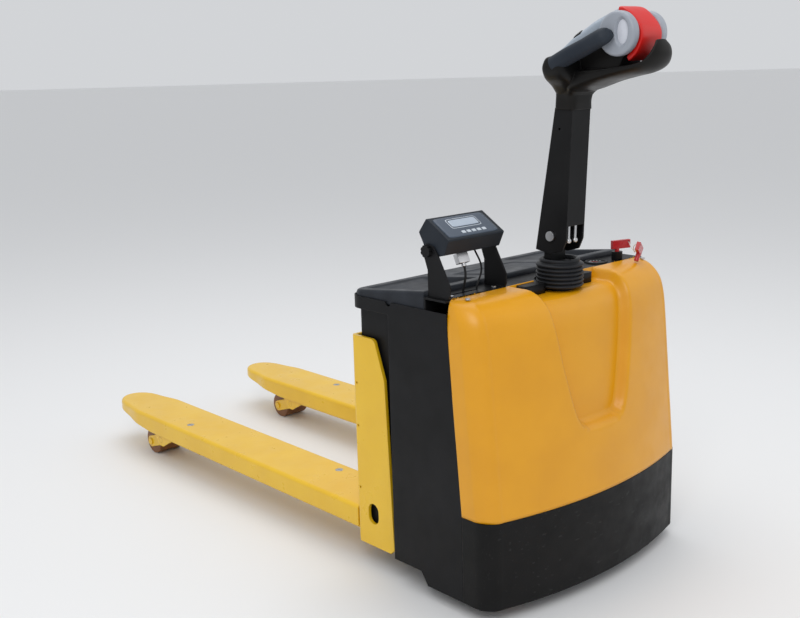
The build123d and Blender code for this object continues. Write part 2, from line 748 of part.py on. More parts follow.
with BuildPart() as screws:  # cover screws, and the bracket's two
    with Locations([(x, at(352), cover_top) for x in (-298, 298)]):
        Cylinder(5.5, 3, align=(Align.CENTER, Align.CENTER, Align.MIN))
    with Locations([(x, at(bracket_screw_reach), body_height + bracket_wall) for x in bracket_screws]):
        Cylinder(5, 3, align=(Align.CENTER, Align.CENTER, Align.MIN))
        Cylinder(2.5, 12, align=(Align.CENTER, Align.CENTER, Align.MAX))
save(screws, "panel_screws")

# ---------------------------------------------------------------- gauge, switch and keys
with BuildPart() as gauge:
    with Locations((gauge_place[0], at(gauge_place[1]), body_height)):
        Cylinder(27, 3.5, align=(Align.CENTER, Align.CENTER, Align.MIN))
        Cylinder(21, 30, align=(Align.CENTER, Align.CENTER, Align.MAX))
    with Locations((gauge_place[0], at(gauge_place[1]), body_height + 2)):
        Cylinder(22, 4, align=(Align.CENTER, Align.CENTER, Align.MIN), mode=Mode.SUBTRACT)
save(gauge, "battery_gauge")

switch_height = 20
with BuildPart() as switch:
    with Locations((switch_place[0], at(switch_place[1]), body_height)):
        Cylinder(13, switch_height, align=(Align.CENTER, Align.CENTER, Align.MIN))
    with Locations((switch_place[0], at(switch_place[1]), body_height + switch_height)):
        Cylinder(5.5 + clearance, 24, mode=Mode.SUBTRACT)
save(switch, "disconnect_switch")

key_stem = 5.5
key_short, key_long = 15, 35  # the handle's ends, from its stem
key_thickness = 9
key_height = 20
key_hole = (30, 0, 33)  # on the key's own plane


def key_at(place):
    """A T-shaped isolator key: a round stem and a flat handle, set on this plane."""
    with BuildPart(place, mode=Mode.PRIVATE) as key:
        Cylinder(key_stem, 20, align=(Align.CENTER, Align.CENTER, Align.MIN))
        with Locations(((key_long - key_short) / 2, 0, 18)):
            Box(key_short + key_long, key_thickness, key_height, align=(Align.CENTER, Align.CENTER, Align.MIN))
        with Locations(key_hole):
            Cylinder(2, 12, rotation=(90, 0, 0), mode=Mode.SUBTRACT)
    return key.part


key_place = Plane(
    origin=(switch_place[0], at(switch_place[1]), body_height + switch_height - 11.5),
    x_dir=(0.95, -0.31, 0), z_dir=(0, 0, 1),
)
with BuildPart() as key:
    add(key_at(key_place))
save(key, "disconnect_key")

# the spare key leans on the cover, held up by its string
spare_place = Plane(
    origin=(253, at(366), cover_top + 2.6 + clearance),
    x_dir=(-0.8, -0.42, 0.43), z_dir=(0.47, 0, 0.88),
)
with BuildPart() as spare_key:
    add(key_at(spare_place))
save(spare_key, "spare_key")

# the string hangs from one key's hole to the other's
string_radius = 0.9
string_points = [
    (289, at(317.9), 724.5), (287.4, at(322.9), 716), (285, at(331), 708.5), (278, at(345), 704.5),
    (262, at(356), 706), (249, at(361), 714), (242.5, at(364.5), 725), (242.6, at(373.7), 730.9),
]
key_string = tube_along(string_points, [6, 6, 10, 10, 8, 7], string_radius)
save(key_string, "key_string")

# ---------------------------------------------------------------- weighing indicator
leg_gap = 1
leg_left = indicator_left - leg_gap - bracket_wall
leg_right = indicator_right + leg_gap
pivot_point = (at(indicator_pivot_reach), indicator_pivot_height)
with BuildPart() as bracket:
    with Locations(((leg_left + leg_right + bracket_wall) / 2, at(bracket_screw_reach), body_height + bracket_wall / 2)):
        Box(leg_right - leg_left + bracket_wall, 22, bracket_wall)
    for x in (leg_left, leg_right):
        with BuildSketch(Plane.YZ.offset(x)):
            with BuildLine():
                Polyline(
                    side_points([
                        (264, body_height), (322, body_height), (328, 694), (328, 714), (296, 772), (282, 790),
                        (262, 795), (252, 786), (252, 772), (264, 740),
                    ]),
                    close=True,
                )
            make_face()
            with Locations(pivot_point):
                Circle(4 + clearance, mode=Mode.SUBTRACT)
        extrude(amount=bracket_wall)
    with Locations([(x, at(bracket_screw_reach), body_height) for x in bracket_screws]):
        Cylinder(2.5 + clearance, 10, mode=Mode.SUBTRACT)
save(bracket, "indicator_bracket")

case_points = [(259, 846), (324, 806), (309, 774), (283, 768), (252, 788), (236, 816)]
with BuildPart() as indicator:
    with BuildSketch(Plane.YZ.offset(indicator_left)):
        with BuildLine():
            Polyline(side_points(case_points), close=True)
        make_face()
    extrude(amount=indicator_right - indicator_left)
    fillet(indicator.edges().filter_by(Axis.X), 3)
save(indicator, "indicator_case")

face_run = hypot(324 - 259, 846 - 806)
face_normal = (0, -(846 - 806) / face_run, (324 - 259) / face_run)
face_plane = Plane(
    origin=((indicator_left + indicator_right) / 2, at((259 + 324) / 2), (846 + 806) / 2),
    x_dir=(1, 0, 0), z_dir=face_normal,
)
with BuildPart() as keypad:
    with BuildSketch(face_plane):
        RectangleRounded(indicator_right - indicator_left - 12, face_run - 10, 4)
    extrude(amount=1)
    with BuildSketch(face_plane.offset(1)):
        with Locations([(-56 + 28 * i, -22) for i in range(5)]):
            RectangleRounded(15, 9, 2)
    extrude(amount=0.8)
save(keypad, "indicator_keypad")

for name, x, side in (("left", leg_left, -1), ("right", leg_right + bracket_wall, 1)):
    with BuildPart() as knob:
        with Locations(Location((x, *pivot_point), (0, 90 * side, 0))):
            with Locations((0, 0, clearance)):
                Cylinder(13, 8.5, align=(Align.CENTER, Align.CENTER, Align.MIN))
            with Locations([Location((13.5 * cos(a * pi / 4), 13.5 * sin(a * pi / 4), 5)) for a in range(8)]):
                Cylinder(2.2, 12, mode=Mode.SUBTRACT)
            with Locations((0, 0, 1)):
                Cylinder(4, bracket_wall + 1.6, align=(Align.CENTER, Align.CENTER, Align.MAX))
    save(knob, f"indicator_knob_{name}")

connector_x = -250
with BuildPart() as connector:
    with Locations(Location((connector_x, at(289), 757), (-24, 0, 0))):
        Box(31, 13, 22)
        with Locations((0, 0, -13)):
            Cylinder(5, 10)
    fillet(connector.edges().filter_by(GeomType.LINE), 1)
save(connector, "signal_connector")
print("body, cover, deck, lid and indicator written")

# ---------------------------------------------------------------- drive unit
wheel_radius = drive_wheel_diameter / 2
axle_radius = 16
motor_radius = 70
motor_top = 500
column_radius = 30
column_top = 722
neck_depth = (4, 24)  # the clevis neck stands behind the tilt pivot

with BuildPart() as steering_ring:
    with Locations((0, steer_y, drive_plate_z + 12)):
        Cylinder(ring_radius, 16, align=(Align.CENTER, Align.CENTER, Align.MIN))
        Cylinder(turntable_radius + 1, 40, mode=Mode.SUBTRACT)
save(steering_ring, "steering_ring")

with BuildPart() as drive_unit:
    with Locations((0, steer_y, drive_plate_z - 8)):
        Cylinder(turntable_radius, 40, align=(Align.CENTER, Align.CENTER, Align.MIN))
    with Locations((24, steer_y, (2 * wheel_radius + 14 + drive_plate_z - 8) / 2)):
        Box(112, 90, drive_plate_z - 8 - 2 * wheel_radius - 14)
    with Locations((drive_wheel_width / 2 + 8 + 17, steer_y, (60 + drive_plate_z - 8) / 2)):
        Box(34, 90, drive_plate_z - 8 - 60)
    with Locations(Location((drive_wheel_width / 2 + 8, steer_y, wheel_radius), (0, 90, 0))):
        Cylinder(axle_radius, 2 * drive_wheel_width / 2 + 14, align=(Align.CENTER, Align.CENTER, Align.MAX))
    with Locations(Location((drive_wheel_width / 2 + 8 + 17, steer_y, wheel_radius), (0, 90, 0))):
        Cylinder(58, 34)
save(drive_unit, "drive_unit")

with BuildPart() as drive_motor:
    with Locations((0, steer_y, drive_plate_z + 32)):
        Cylinder(motor_radius, motor_top - drive_plate_z - 32, align=(Align.CENTER, Align.CENTER, Align.MIN))
    fillet(drive_motor.edges().filter_by(GeomType.CIRCLE).sort_by(Axis.Z)[-1], 8)
save(drive_motor, "drive_motor")

with BuildPart() as drive_hub:
    with Locations(Location((0, steer_y, wheel_radius), (0, 90, 0))):
        Cylinder(wheel_radius - 20, drive_wheel_width - 8)
        Cylinder(axle_radius + clearance, drive_wheel_width, mode=Mode.SUBTRACT)
        with Locations((0, 0, -drive_wheel_width / 2)):
            with PolarLocations(45, 5):
                Cylinder(7, 30, mode=Mode.SUBTRACT)
save(drive_hub, "drive_hub")

with BuildPart() as drive_tyre:
    with Locations(Location((0, steer_y, wheel_radius), (0, 90, 0))):
        Cylinder(wheel_radius, drive_wheel_width)
        Cylinder(wheel_radius - 20, drive_wheel_width + 2, mode=Mode.SUBTRACT)
    fillet(drive_tyre.edges().filter_by(GeomType.CIRCLE).filter_by(lambda e: e.radius > wheel_radius - 1), 4)
save(drive_tyre, "drive_tyre")

# ---------------------------------------------------------------- casters
caster_radius = caster_diameter / 2
caster_trail = 28
caster_cheek = caster_width / 2 + 2
for name, side in fork_sides.items():
    wheel_y = steer_y - caster_trail
    with BuildPart() as swivel:
        with Locations((side * caster_x, steer_y, caster_plate_z - clearance)):
            Cylinder(24, 6, align=(Align.CENTER, Align.CENTER, Align.MAX))
            Cylinder(8.5, 12, align=(Align.CENTER, Align.CENTER, Align.MIN))
        with Locations((side * caster_x, steer_y - caster_trail / 2, caster_plate_z - clearance - 9)):
            Box(2 * caster_cheek + 8, 44, 6)
        for edge in (-1, 1):
            with BuildSketch(Plane.YZ.offset(side * caster_x + edge * (caster_cheek + 2) - 2)):
                with BuildLine():
                    Polyline(
                        (steer_y + 8, caster_plate_z - clearance - 6), (steer_y - caster_trail - 8, caster_plate_z - clearance - 6),
                        (wheel_y - 12, caster_radius - 8), (wheel_y + 12, caster_radius - 8), close=True,
                    )
                make_face()
            extrude(amount=4)
        with Locations(Location((side * caster_x, wheel_y, caster_radius), (0, 90, 0))):
            Cylinder(6, 2 * caster_cheek + 12)
    save(swivel, f"caster_fork_{name}")
    with BuildPart() as caster_wheel:
        with Locations(Location((side * caster_x, wheel_y, caster_radius), (0, 90, 0))):
            Cylinder(caster_radius, caster_width)
            Cylinder(6 + clearance, caster_width + 2, mode=Mode.SUBTRACT)
        fillet(caster_wheel.edges().filter_by(GeomType.CIRCLE).filter_by(lambda e: e.radius > 40), 5)
    save(caster_wheel, f"caster_wheel_{name}")

# ---------------------------------------------------------------- steering column and bellows
with BuildPart() as column:
    with Locations((0, steer_y, motor_top)):
        Cylinder(46, 50, align=(Align.CENTER, Align.CENTER, Align.MIN))
        Cylinder(column_radius, column_top - motor_top, align=(Align.CENTER, Align.CENTER, Align.MIN))
    with Locations((0, steer_y + (neck_depth[0] + neck_depth[1]) / 2, (column_top + pivot_height) / 2)):
        Box(2 * (arm_half_width - arm_wall - 2), neck_depth[1] - neck_depth[0], pivot_height - column_top)
    with Locations(Location((0, steer_y, pivot_height), (0, 90, 0))):
        Cylinder(22, 2 * (arm_half_width - arm_wall - 2))
        Cylinder(8 + clearance, 100, mode=Mode.SUBTRACT)
save(column, "steering_column")

rib_count = 6
rib_pitch = (bellows_top - 9 - bellows_bottom) / rib_count
with BuildPart() as bellows:
    with BuildSketch(Plane(origin=(0, steer_y, 0), x_dir=(1, 0, 0), z_dir=(0, -1, 0))):
        with BuildLine():
            ribs = [(column_radius + clearance, bellows_bottom)]
            for i in range(rib_count):
                foot = bellows_bottom + i * rib_pitch
                ribs += [(bellows_radius - 7, foot), (bellows_radius, foot + rib_pitch * 0.35),
                         (bellows_radius, foot + rib_pitch * 0.65)]
            ribs += [(bellows_radius - 7, bellows_top - 9), (bellows_radius - 9, bellows_top),
                     (column_radius + 6, bellows_top), (column_radius + 6, column_top - 4),
                     (column_radius + clearance, column_top - 8)]
            Polyline(ribs, close=True)
        make_face()
    revolve(axis=Axis((0, steer_y, 0), (0, 0, 1)))
save(bellows, "bellows")

# ---------------------------------------------------------------- tiller arm
arm_points = [(302, 748), (345, 741), (376, 750), (387, 774), (402, arm_top), (355, arm_top)]
window_top = 805
with BuildPart() as arm:
    with BuildSketch(Plane.YZ.offset(-arm_half_width)):
        with BuildLine():
            Polyline(side_points(arm_points), close=True)
        make_face()
    extrude(amount=2 * arm_half_width)
    fillet(arm.edges().filter_by(Axis.X).filter_by(lambda e: e.center().Z < 780 and e.center().Y < at(360)), 8)
    with BuildSketch(Plane.YZ.offset(-arm_half_width + arm_wall)):
        with BuildLine():
            Polyline(
                side_points([
                    (307, 740), (307, 752), (359, arm_top - arm_wall), (398, arm_top - arm_wall),
                    (385.6, window_top), (405, window_top), (405, 740),
                ]),
                close=True,
            )
        make_face()
    extrude(amount=2 * (arm_half_width - arm_wall), mode=Mode.SUBTRACT)
    with Locations(Location((0, steer_y, pivot_height), (0, 90, 0))):
        Cylinder(8 + clearance, 100, mode=Mode.SUBTRACT)
    with Locations(Location((0, at(367), 1012), (0, 90, 0))):
        Cylinder(3, 100, mode=Mode.SUBTRACT)
save(arm, "tiller_arm")

with BuildPart() as rods:
    with Locations(Location((0, steer_y, pivot_height), (0, 90, 0))):  # tilt bolt
        Cylinder(8, 2 * arm_half_width + 4)
        with Locations((0, 0, arm_half_width + clearance)):
            Cylinder(11, 5, align=(Align.CENTER, Align.CENTER, Align.MIN))
        with Locations((0, 0, -arm_half_width - clearance)):
            Cylinder(11, 5, align=(Align.CENTER, Align.CENTER, Align.MAX))
    for x in (-14, 8):
        with Locations((x, at(380), 772)):
            Sphere(6.5)
        with Locations(Location((x, at(380), 772), (degrees(atan2(8, 220)), 0, 0))):
            Cylinder(3.5, 230, align=(Align.CENTER, Align.CENTER, Align.MIN))
save(rods, "control_rods")

# ---------------------------------------------------------------- tiller head
base_half = 92
guard_half = 58
spine_half = 33
guard_points = [
    (406, arm_top), (412, 1070), (424, 1083), (441, 1091), (491, 1109), (538, 1119), (588, 1129),
    (606, 1141), (tiller_reach, 1157), (606, 1177), (597, 1191), (592, 1188), (597, 1160), (585, 1145),
    (530, 1139), (440, 1130), (400, 1130), (358, 1130), (350, 1118), (354, 1095), (357, 1075), (353, arm_top),
]
with BuildPart() as head:
    with BuildSketch(Plane.YZ.offset(-guard_half)):
        with BuildLine():
            Polyline(side_points([p for p in guard_points if p[1] > 1085 and p[0] > 425] + [(425, 1087)]), close=True)
        make_face()
    extrude(amount=2 * guard_half)
    with BuildSketch(Plane.XY.offset(arm_top)):  # neck
        with Locations((0, at((353 + 407) / 2))):
            RectangleRounded(68, 54, 8)
    with BuildSketch(Plane.XY.offset(1112)):
        with Locations((0, at((356 + 428) / 2))):
            RectangleRounded(2 * base_half - 30, 72, 10)
    loft()
    with BuildSketch(Plane.XY.offset(1112)):  # the wide base that carries the grips
        with Locations((0, at((356 + 428) / 2))):
            RectangleRounded(2 * base_half - 30, 72, 10)
    with BuildSketch(Plane.XY.offset(1134)):
        with Locations((0, at((362 + 424) / 2))):
            RectangleRounded(2 * base_half, 62, 12)
    loft()
    with BuildSketch(Plane.XY.offset(1134)):
        with Locations((0, at((362 + 424) / 2))):
            RectangleRounded(2 * base_half, 62, 12)
    with BuildSketch(Plane.XY.offset(1163)):
        with Locations((0, at((370 + 420) / 2))):
            RectangleRounded(2 * base_half - 8, 50, 12)
    loft()
    with BuildSketch(Plane.YZ.offset(-spine_half)):  # spine up to the pod
        with BuildLine():
            Polyline(
                side_points([
                    (372, 1128), (520, 1128), (526, 1150), (disc_reach + 16, 1186), (disc_reach + 11, 1225),
                    (disc_reach - 14, 1239), (462, 1219), (418, 1194), (372, 1158),
                ]),
                close=True,
            )
        make_face()
    extrude(amount=2 * spine_half)
save(head, "head_housing")

cover_half = 50
button_tilt = -33
button_reach = 424
button_surface = 1211.5  # height of the cover's top at the buttons
with BuildPart() as head_cover:
    outer = [(368, 1164), (378, 1178), (418, 1208), (462, 1234), (505, 1256), (514, 1257), (517, 1251)]
    inner = [(514, 1242), (disc_reach - 14, 1239.5), (462, 1219.6), (418, 1194.6), (376, 1164)]
    with BuildSketch(Plane.YZ.offset(-cover_half)):
        with BuildLine():
            Polyline(side_points(outer + inner), close=True)
        make_face()
    extrude(amount=2 * cover_half)
    with Locations([(x, at(disc_reach - 12), 1240) for x in (-cover_half, cover_half)]):  # narrow at the pod
        Box(2 * (cover_half - spine_half), 2 * 56, 130, mode=Mode.SUBTRACT)
    for side in (-1, 1):
        with Locations(Location((side * (spine_half + 3), at(button_reach), button_surface), (button_tilt, 0, 0))):
            Box(20 + 2 * clearance, 26 + 2 * clearance, 60, mode=Mode.SUBTRACT)
save(head_cover, "head_cover")

grip_start = (at(398), 1150)
grip_end = (at(disc_reach - 9), disc_height - 4)
grip_angle = degrees(atan2(grip_end[1] - grip_start[1], grip_start[0] - grip_end[0]))
grip_length = hypot(grip_end[1] - grip_start[1], grip_start[0] - grip_end[0])
with BuildPart() as grips:
    for side in fork_sides.values():
        with Locations(Location((side * grip_x, *grip_start), (90 - grip_angle, 0, 0))):
            with Locations((0, 0, 26)):
                Cylinder(grip_radius, grip_length - 12, align=(Align.CENTER, Align.CENTER, Align.MIN))
        fillet(grips.edges().filter_by(GeomType.CIRCLE).filter_by(lambda e: e.center().X * side > 0).sort_by(Axis.Y)[0], 12)
        with Locations(Location((side * (grip_x + spine_half) / 2, at(disc_reach), disc_height), (0, 90, 0))):
            Cylinder(9, grip_x - spine_half)
save(grips, "hand_grips")

disc_inner, disc_outer = spine_half + 2.5, spine_half + 24
with BuildPart() as thumb_wheels:
    for side in fork_sides.values():
        with Locations(Location((side * (disc_inner + disc_outer) / 2, at(disc_reach), disc_height), (0, 90, 0))):
            Cylinder(disc_radius, disc_outer - disc_inner)
        with BuildSketch(Plane.YZ.offset(side * (disc_outer + 4) - 4)):
            with Locations((at(disc_reach + 30), disc_height + 4)):
                Ellipse(14, 32, rotation=-8)
        extrude(amount=8)
        with Locations(Location((side * (disc_inner + disc_outer) / 2, at(disc_reach), disc_height), (0, 90, 0))):
            Cylinder(9 + clearance + 0.5, 60, mode=Mode.SUBTRACT)
save(thumb_wheels, "thumb_wheels")

belly_outer = [(525, 1255.5), (549, 1241), (568, 1219), (575, 1193), (566, 1167), (546, 1150)]
belly_inner = [(541, 1156), (560, 1170), (569, 1193), (562, 1217), (544, 1236), (524, 1249)]
with BuildPart() as belly:
    with BuildSketch(Plane.YZ.offset(-spine_half - 1)):
        with BuildLine():
            first = Spline(*side_points(belly_outer))
            second = Spline(*side_points(belly_inner))
            Line(first @ 1, second @ 0)
            Line(second @ 1, first @ 0)
        make_face()
    extrude(amount=2 * (spine_half + 1))
save(belly, "belly_button")

for name, side in (("lift_button", -1), ("lower_button", 1)):
    with BuildPart() as button:
        with Locations(Location((side * (spine_half + 3), at(button_reach), button_surface), (button_tilt, 0, 0))):
            with Locations((0, 0, 3)):
                Box(20, 26, 9, align=(Align.CENTER, Align.CENTER, Align.MAX))
    save(button, name)

# ---------------------------------------------------------------- cables and string
signal_points = [
    (connector_x, at(296.5), 740.2), (connector_x - 1, at(301), 729), (connector_x - 3, at(302), 716),
    (connector_x - 3, at(298.5), 703), (connector_x - 2, at(294), 690), (connector_x - 2, at(292), 677),
]
signal_cable = tube_along(signal_points, [14, 20, 20, 20], 2.5)
save(signal_cable, "signal_cable")

lead_points = [
    (-186, at(262), 767), (-180, at(266), 752), (-180, at(276), 738), (-188, at(287), 724),
    (-200, at(294), 712), (-210, at(296), 699), (-213, at(295), 686), (-213, at(294), 674),
]
power_lead = tube_along(lead_points, [16, 16, 16, 16, 16, 16], 2)
save(power_lead, "power_lead")
for name, cord in (("string", key_string), ("signal", signal_cable), ("lead", power_lead)):
    print(name, "cord, length x section against volume:", cord.part.volume)
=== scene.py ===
import math
import bmesh
import bpy
import numpy as np
from mathutils import Matrix


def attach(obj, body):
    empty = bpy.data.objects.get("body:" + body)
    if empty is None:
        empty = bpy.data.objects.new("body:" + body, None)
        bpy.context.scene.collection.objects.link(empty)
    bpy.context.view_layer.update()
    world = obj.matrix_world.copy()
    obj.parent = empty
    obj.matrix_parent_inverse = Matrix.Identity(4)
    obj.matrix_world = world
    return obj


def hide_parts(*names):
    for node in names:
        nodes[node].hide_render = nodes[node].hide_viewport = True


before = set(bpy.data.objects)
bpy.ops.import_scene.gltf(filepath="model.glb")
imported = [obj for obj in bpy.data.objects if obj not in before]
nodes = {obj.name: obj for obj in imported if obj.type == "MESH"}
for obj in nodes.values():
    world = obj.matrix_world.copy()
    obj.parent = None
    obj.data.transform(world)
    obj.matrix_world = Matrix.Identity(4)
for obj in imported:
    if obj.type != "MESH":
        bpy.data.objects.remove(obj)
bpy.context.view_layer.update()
forkFace = -311.5  # y of the fork carriage's face, in millimetres; a reach is measured forwards from it
print("frame loaded,", len(nodes), "nodes")


# Shared shape helpers: sizes in millimetres, meshes in metres

def smoothStep(low, high, value):
    t = np.clip((value - low) / (high - low), 0, 1)
    return t * t * (3 - 2 * t)


def smoothKeys(keys, count):
    # Catmull-Rom through the keys: each span is a cubic whose ends slope towards the keys on both sides
    keys = np.asarray(keys, float)
    padded = np.vstack([2 * keys[0] - keys[1], keys, 2 * keys[-1] - keys[-2]])
    t = np.linspace(0, len(keys) - 1, count)
    i = np.minimum(t.astype(int), len(keys) - 2)
    f = (t - i)[:, None]
    a, b, c, d = (padded[i + k] for k in range(4))
    return 0.5 * (2 * b + (c - a) * f + (2 * a - 5 * b + 4 * c - d) * f**2 + (3 * b - a - 3 * c + d) * f**3)


def toFrame(x, reach, z):
    # the truck's own x, reach and height, turned into the frame's metres
    x, reach, z = np.broadcast_arrays(x, reach, z)
    return np.stack([x, forkFace - reach, z], axis=-1) / 1000


def gridFaces(rows, columns, start=0, closeColumns=False):
    # corner numbers of every square between neighbouring rows and columns
    number = np.arange(rows * columns).reshape(rows, columns) + start
    after = np.roll(number, -1, axis=1) if closeColumns else number[:, 1:]
    here = number if closeColumns else number[:, :-1]
    return np.stack([here[:-1], after[:-1], after[1:], here[1:]], axis=-1).reshape(-1, 4)


def buildMesh(name, points, faces, caps=()):
    mesh = bpy.data.meshes.new(name)
    mesh.from_pydata(points.reshape(-1, 3).tolist(), [], faces.tolist() + [list(c) for c in caps])
    tidy = bmesh.new()
    tidy.from_mesh(mesh)
    bmesh.ops.remove_doubles(tidy, verts=tidy.verts, dist=1e-6)
    bmesh.ops.dissolve_degenerate(tidy, edges=tidy.edges, dist=1e-7)
    bmesh.ops.recalc_face_normals(tidy, faces=tidy.faces)
    tidy.to_mesh(mesh)
    tidy.free()
    mesh.polygons.foreach_set("use_smooth", np.ones(len(mesh.polygons), bool))
    piece = bpy.data.objects.new(name, mesh)
    bpy.context.scene.collection.objects.link(piece)
    return piece


def thicken(piece, wall, within):
    # gives an open sheet a wall on its inner side; within is a place on that side, in metres
    mesh = piece.data
    normals, middles = np.empty(len(mesh.polygons) * 3), np.empty(len(mesh.polygons) * 3)
    mesh.polygons.foreach_get("normal", normals)
    mesh.polygons.foreach_get("center", middles)
    outward = (normals.reshape(-1, 3) * (middles.reshape(-1, 3) - np.array(within))).sum()
    if outward < 0:
        mesh.flip_normals()
    shell = piece.modifiers.new("wall", "SOLIDIFY")
    shell.thickness = wall / 1000
    shell.offset = -1


def joinGrids(name, grids, capped=True):
    # several closed-ring grids in one mesh; each grid's first and last rings get a cap
    points, faces, caps, start = [], [], [], 0
    for grid in grids:
        rows, columns = grid.shape[:2]
        points.append(grid.reshape(-1, 3))
        faces.append(gridFaces(rows, columns, start, closeColumns=True))
        if capped:
            caps += [range(start, start + columns), range(start + (rows - 1) * columns, start + rows * columns)]
        start += rows * columns
    return buildMesh(name, np.vstack(points), np.vstack(faces), caps)


def loftRings(keys, rows=60, columns=64, side=0.0, upright=False):
    # rings across a path in the side view; each key is reach, height, half width, half thickness, squareness, curl
    # a ring is a superellipse whose flat middle is bent by curl times the square of its place across
    path = smoothKeys(keys, rows)
    reach, z, wide, thick, power, curl = path.T[:6, :, None]
    if path.shape[1] > 6:  # a seventh number moves the ring outwards, away from the middle of the truck
        side = side + math.copysign(1, side) * path[:, 6][:, None]
    slope = np.gradient(path[:, :2], axis=0)
    slope /= np.linalg.norm(slope, axis=1)[:, None]
    normalReach, normalZ = -slope[:, 1][:, None], slope[:, 0][:, None]
    if upright:
        normalReach, normalZ = np.ones_like(normalReach), np.zeros_like(normalZ)
    angle = np.linspace(0, 2 * np.pi, columns, endpoint=False)[None, :]
    across = np.sign(np.cos(angle)) * np.abs(np.cos(angle)) ** (2 / power)
    through = np.sign(np.sin(angle)) * np.abs(np.sin(angle)) ** (2 / power)
    off = thick * through + curl * across**2
    return toFrame(side + wide * across, reach + normalReach * off, z + normalZ * off)


def spinRings(profile, centre, axis="z", rows=0, columns=96):
    # a profile of radius and distance, turned about an upright or sideways axis
    profile = np.asarray(profile, float) if rows == 0 else smoothKeys(profile, rows)
    radius, along = profile[:, 0][:, None], profile[:, 1][:, None]
    angle = np.linspace(0, 2 * np.pi, columns, endpoint=False)[None, :]
    x, reach, z = centre
    if axis == "z":
        return toFrame(x + radius * np.cos(angle), reach + radius * np.sin(angle), z + along)
    return toFrame(x + along, reach + radius * np.cos(angle), z + radius * np.sin(angle))


def pillowRings(centre, halfU, halfV, height, uAxis, vAxis, power=6, rows=10, columns=48, edge=0.12):
    # a low pad with a rounded-rectangle outline: full height inside, rounded down to nothing at its edge
    ring = np.append(np.linspace(0, 1, rows) ** 0.7, 0)[:, None]  # the last ring closes the pad's flat underside
    angle = np.linspace(0, 2 * np.pi, columns, endpoint=False)[None, :]
    u = np.sign(np.cos(angle)) * np.abs(np.cos(angle)) ** (2 / power) * ring * halfU
    v = np.sign(np.sin(angle)) * np.abs(np.sin(angle)) ** (2 / power) * ring * halfV
    lift = height * np.sqrt(np.clip(1 - np.clip((ring - 1 + edge) / edge, 0, 1) ** 2, 0, 1)) + 0 * angle
    lift[-1] = 0
    uAxis, vAxis = np.array(uAxis, float), np.array(vAxis, float)
    normal = np.cross(uAxis, vAxis)
    spot = np.array(centre)[None, None] + (u[..., None] * uAxis + v[..., None] * vAxis + lift[..., None] * normal)
    return spot


def dress(piece, body, finish, slotName, *replaced):
    piece.data.materials.append(finish)
    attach(piece, body)
    if replaced:
        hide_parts(*replaced)
    return piece


# Camera, light and floor

cameraLook = {"place": (-1.8547, -2.1918, 1.1686), "yaw": 41.9, "pitch": -12.9, "roll": -1.6, "lens": 49.38}
roomLook = {"floor": (0.84, 0.84, 0.84), "sky": (0.95, 0.97, 1.0), "skyStrength": 0.68, "display": "Standard"}
lampLooks = {
    "keyLamp": {"place": (-2.6, -2.6, 3.4), "aim": (0.0, -0.5, 0.5), "size": 2.0, "power": 48},
    "fillLamp": {"place": (2.4, -2.9, 2.0), "aim": (0.0, -0.6, 0.5), "size": 2.6, "power": 9},
    "topLamp": {"place": (0.2, 0.3, 3.8), "aim": (0.0, 0.0, 0.3), "size": 3.0, "power": 46},
}


def aimCamera(look):
    yaw, pitch, roll = (math.radians(look[k]) for k in ("yaw", "pitch", "roll"))
    forward = np.array([math.sin(yaw) * math.cos(pitch), math.cos(yaw) * math.cos(pitch), math.sin(pitch)])
    right = np.array([math.cos(yaw), -math.sin(yaw), 0])
    up = np.cross(right, forward)
    camera = bpy.data.objects.new("camera", bpy.data.cameras.new("camera"))
    bpy.context.scene.collection.objects.link(camera)
    matrix = np.eye(4)
    matrix[:3, 0] = right * math.cos(roll) + up * math.sin(roll)
    matrix[:3, 1] = up * math.cos(roll) - right * math.sin(roll)
    matrix[:3, 2] = -forward
    matrix[:3, 3] = look["place"]
    camera.matrix_world = Matrix(matrix.tolist())
    camera.data.sensor_width = 36
    camera.data.lens = look["lens"]
    camera.data.clip_end = 60
    bpy.context.scene.camera = camera


def hangLamp(name, look):
    lamp = bpy.data.objects.new(name, bpy.data.lights.new(name, "AREA"))
    bpy.context.scene.collection.objects.link(lamp)
    lamp.data.size = look["size"]
    lamp.data.energy = look["power"]
    away = np.array(look["place"]) - np.array(look["aim"])
    away /= np.linalg.norm(away)
    side = np.cross((0, 0, 1), away)
    side /= np.linalg.norm(side)
    matrix = np.eye(4)
    matrix[:3, 0], matrix[:3, 1], matrix[:3, 2], matrix[:3, 3] = side, np.cross(away, side), away, look["place"]
    lamp.matrix_world = Matrix(matrix.tolist())


def layFloor(look):
    corners = np.array([[-80, -80, -0.0005], [80, -80, -0.0005], [80, 80, -0.0005], [-80, 80, -0.0005]])
    floor = buildMesh("floor", corners, np.array([[0, 1, 2, 3]]))
    paint = bpy.data.materials.new("floorPaint")
    paint.use_nodes = True
    paint.node_tree.nodes["Principled BSDF"].inputs["Base Color"].default_value = (*look["floor"], 1)
    paint.node_tree.nodes["Principled BSDF"].inputs["Roughness"].default_value = 0.7
    floor.data.materials.append(paint)
    world = bpy.data.worlds.new("studio")
    world.use_nodes = True
    world.node_tree.nodes["Background"].inputs["Color"].default_value = (*look["sky"], 1)
    world.node_tree.nodes["Background"].inputs["Strength"].default_value = look["skyStrength"]
    bpy.context.scene.world = world
    bpy.context.scene.view_settings.view_transform = look["display"]  # true colours, not filmic ones


aimCamera(cameraLook)
layFloor(roomLook)
for lampName, lampLook in lampLooks.items():
    hangLamp(lampName, lampLook)
print("camera, lamps and floor set")


# Finishes: each has two mottled tones, uneven shine, a fine grain and rubbed edges

